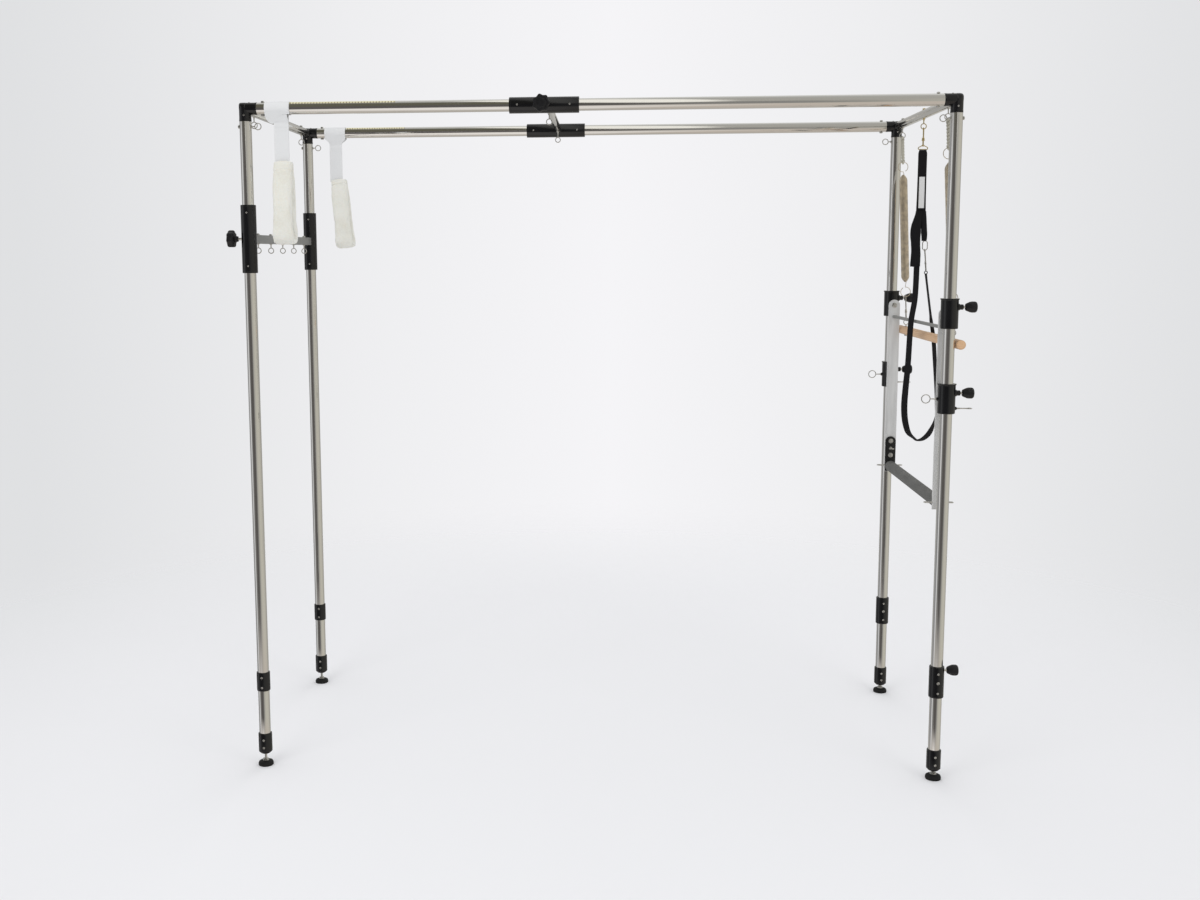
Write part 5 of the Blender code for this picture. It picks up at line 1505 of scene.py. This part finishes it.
def fleece_band():
    """Rings of points round a thick band whose two ends meet at the strap."""
    inset = FLEECE_THICKNESS / 2
    side = [(-0.0085, -0.0050), (-0.0105, -0.022), (-0.0150, -0.050), (-0.0205, -0.085),
            (-0.0262, -0.140), (-0.0285, -0.190)]
    bottom = arc(0, FLEECE_HALF - FLEECE_LENGTH, FLEECE_HALF - inset, 180, 360, 10)
    route = smooth_route(side + bottom + flipped(side), 8)
    last = len(route) - 1
    rings = []
    for index, middle_point in enumerate(route):
        before = Vector(route[max(index - 1, 0)])
        after = Vector(route[min(index + 1, last)])
        along = (after - before).normalized()
        outward = Vector((along.y, -along.x))
        from_end = min(index, last - index) / last
        grown = min(1.0, 0.50 + from_end * 5.5)
        cap = min(1.0, 0.35 + from_end * 34.0)
        half_t = inset * grown * cap - FLEECE_SWELL
        half_w = (FLEECE_WIDTH / 2 * (0.83 + 0.17 * eased(from_end / 0.15))
                  * min(1.0, cap + 0.25) - FLEECE_SWELL)
        row = []
        for c, s in soft_outline(48, 0.55, 0.80):
            point = Vector(middle_point) + outward * half_t * s
            row.append(Vector((half_w * c, point.x, point.y + FLEECE_TOP)))
        rings.append(row)
    return rings


def dress_fleece(end):
    """A plump loop of fleece, with its uneven pile, soft folds and a seam."""
    shape = swollen(loft(fleece_band()), voxel=0.0045, pressure=4.0, furthest=0.006)
    seed = Vector((0, 0, FLEECE_SEED[end]))
    normals = [vert.normal.copy() for vert in shape.vertices]
    moved = []
    for vert, normal in zip(shape.vertices, normals):
        at = vert.co
        lift = 0.0012 * noise.noise(at * 24 + seed) + 0.0006 * noise.noise(at * 85 + seed)
        fine = 0.0004 * noise.noise(at * 380 + seed)
        fold = 0.0005 * noise.noise(Vector((at.x * 7, at.y * 10, at.z * 62)) + seed)
        seam = 0.0
        if at.y < 0:
            away = abs(at.z + SEAM_DROP[end] - 0.10 * at.x + 6.0 * at.x * at.x)
            seam = SEAM_DEPTH[end] * max(0.0, 1 - away / 0.0035)
        moved.extend(at + normal * (lift + fine + fold - seam))
    shape.vertices.foreach_set("co", moved)
    turn = Matrix.Translation(fleece_pivot(end)) @ Matrix.Rotation(-FLEECE_LEAN[end], 4, "Y")
    loop = piece(f"fleece_loop_{end}", placed(shape, turn), "fleece", f"fleece_{end}",
                 f"fleece_{end}")


# Studio

FLOOR_HALF = 8.0
FADE_START = 1.5
FADE_END = 4.5


def make_floor():
    """A pale floor that takes the object's shadow and fades into the background far away."""
    bm = bmesh.new()
    bmesh.ops.create_grid(bm, x_segments=1, y_segments=1, size=FLOOR_HALF)
    floor = added("floor", new_mesh(bm))
    paper = Finish("floor_paper", (0.89, 0.89, 0.90), 0.9)
    paper.set({SPECULAR: 0.1})
    paper.bump(paper.speckle(40.0), 0.05, 0.0005)
    distance = paper.add("VectorMath", "Value", {0: paper.place()}, operation="LENGTH")
    inputs = {"Value": distance, "From Min": FADE_START, "From Max": FADE_END}
    fade = paper.add("MapRange", "Result", inputs, interpolation_type="SMOOTHSTEP")
    clear = paper.add("BsdfTransparent", "BSDF", {})
    surface = paper.add("MixShader", "Shader", {"Fac": fade, 1: paper.shader.outputs["BSDF"],
                                                2: clear})
    paper.feed(paper.tree.nodes["Material Output"], {"Surface": surface})
    floor.data.materials.append(paper.material)
    floor.visible_glossy = False


# What polished metal sees round it, by bearing: 0.5 is towards the camera's side of the object,
# 0.75 is along +X and 0.25 along -X
LEVEL_BANDS = [
    (0.00, (0.42, 0.41, 0.39)), (0.10, (0.38, 0.38, 0.37)), (0.155, (0.34, 0.34, 0.34)),
    (0.205, (0.30, 0.30, 0.31)), (0.235, (0.20, 0.20, 0.21)), (0.255, (0.66, 0.66, 0.67)),
    (0.305, (0.72, 0.72, 0.73)), (0.325, (0.23, 0.225, 0.220)),
    (0.365, (0.18, 0.175, 0.170)), (0.395, (0.105, 0.098, 0.094)), (0.500, (0.110, 0.103, 0.098)),
    (0.515, (0.24, 0.235, 0.225)), (0.545, (0.28, 0.275, 0.26)), (0.575, (0.47, 0.455, 0.41)),
    (0.680, (0.57, 0.55, 0.48)), (0.760, (0.54, 0.52, 0.46)), (0.850, (0.46, 0.44, 0.40)),
    (0.900, (0.20, 0.20, 0.19)), (0.940, (0.60, 0.59, 0.56)), (1.00, (0.42, 0.41, 0.39)),
]
UPPER_BANDS = [
    (0.00, (0.70, 0.70, 0.68)), (0.20, (0.60, 0.60, 0.58)), (0.26, (0.13, 0.125, 0.095)),
    (0.505, (0.12, 0.115, 0.085)), (0.535, (0.42, 0.41, 0.38)), (0.74, (0.46, 0.45, 0.42)),
    (0.80, (0.68, 0.68, 0.66)), (1.00, (0.70, 0.70, 0.68)),
]
LOWER_BANDS = [
    (0.00, (0.50, 0.47, 0.43)), (0.30, (0.58, 0.54, 0.50)), (0.44, (0.92, 0.88, 0.85)),
    (0.50, (0.80, 0.76, 0.72)), (0.56, (0.58, 0.52, 0.46)), (0.75, (0.56, 0.50, 0.45)),
    (1.00, (0.50, 0.47, 0.43)),
]
CEILING = (0.45, 0.45, 0.43)
WINDOW = (0.98, 0.96, 0.90)
LIGHT_COLOUR = (0.80, 0.805, 0.82)
BACKDROP = [
    (0.43, (0.745, 0.752, 0.765)), (0.47, (0.86, 0.86, 0.875)), (0.50, (0.915, 0.91, 0.93)),
    (0.53, (0.86, 0.86, 0.875)), (0.57, (0.745, 0.752, 0.765)),
]


def make_world():
    """An even pale room, with the darker and brighter stretches that polished metal shows."""
    world = bpy.data.worlds.new("studio")
    world.use_nodes = True
    bpy.context.scene.world = world
    sky = Graph(world.node_tree)
    direction = sky.add("TexCoord", "Generated", {})
    x, y, z = (sky.separate(direction, axis) for axis in "XYZ")
    nearer = sky.times(y, -1.0)
    wobble = sky.spread(sky.speckle(2.6, vector=direction), -0.03, 0.03, 0.3, 0.7)
    bearing = sky.spread(sky.calculate("ARCTAN2", x, nearer), 0.0, 1.0, -pi, pi)
    turn = sky.total(bearing, sky.times(wobble, 0.5))
    rise = sky.total(z, wobble)

    # A bright ceiling window in front of the object, leaning over towards +X
    window_rise = radians(58)
    window_lean = radians(190)
    window_half_height = radians(37)
    window_half_width = 0.165
    middle_rise = sky.total(sky.times(x, -window_lean), window_rise)
    off_middle = sky.calculate("SUBTRACT", sky.calculate("ARCTAN2", z, nearer), middle_rise)
    off_height = sky.calculate("DIVIDE", off_middle, window_half_height)
    off_width = sky.calculate("DIVIDE", x, window_half_width)
    off = sky.total(sky.calculate("POWER", off_height, 2.0),
                    sky.calculate("POWER", off_width, 2.0), sky.times(wobble, 4.0))
    window = sky.spread(off, 1.0, 0.0, 0.75, 1.15)

    room = sky.colours(turn, LEVEL_BANDS)
    for colour, start, end in ((sky.colours(turn, UPPER_BANDS), 0.22, 0.36),
                               (sky.colours(turn, LOWER_BANDS), -0.40, -0.54),
                               (CEILING, 0.90, 0.98)):
        room = sky.blended(sky.spread(rise, 0.0, 1.0, start, end), room, colour)
    room = sky.blended(window, room, WINDOW)

    away = sky.spread(sky.calculate("ARCTAN2", x, y), 0.0, 1.0, -pi, pi)
    backdrop = sky.colours(away, BACKDROP)
    seen = sky.blended(sky.add("LightPath", "Is Camera Ray", {}), LIGHT_COLOUR, backdrop)
    seen = sky.blended(sky.add("LightPath", "Is Transmission Ray", {}), seen, backdrop)
    seen = sky.blended(sky.add("LightPath", "Is Glossy Ray", {}), seen, room)
    sky.feed(sky.tree.nodes["Background"], {"Color": seen, "Strength": 1.0})


def make_lamps():
    """Three soft square lamps, each with its place, target, size and power."""
    lamps = {
        "key": ((-2.6, -3.6, 4.6), (0.0, 0.0, 1.2), 2.4, 44.0),
        "fill": ((3.4, -3.4, 4.2), (0.4, 0.0, 1.2), 2.2, 24.0),
        "back": ((0.6, 3.8, 4.4), (0.0, 0.0, 1.4), 2.6, 26.0),
    }
    for name, (place, target, size, power) in lamps.items():
        data = bpy.data.lights.new(name, "AREA")
        data.shape = "SQUARE"
        data.size = size
        data.energy = power
        lamp = added(name, data)
        aim = Vector(target) - Vector(place)
        turn = aim.to_track_quat("-Z", "Y").to_matrix().to_4x4()
        lamp.matrix_world = Matrix.Translation(place) @ turn
        lamp.visible_glossy = False


bpy.context.scene.view_settings.view_transform = "Standard"
make_camera()
make_world()
make_lamps()
make_floor()
dress_tubes()
dress_rail_tapes()
dress_end_bars()
dress_elbows()
dress_legs()
dress_mid_slider()
dress_left_slider()
dress_collars()
dress_push_bar()
dress_roll_bar()
dress_safety_strap()
for end in ENDS:
    dress_rail_loop(end, f"loop_{end}")
    dress_fleece(end)

bpy.context.view_layer.update()
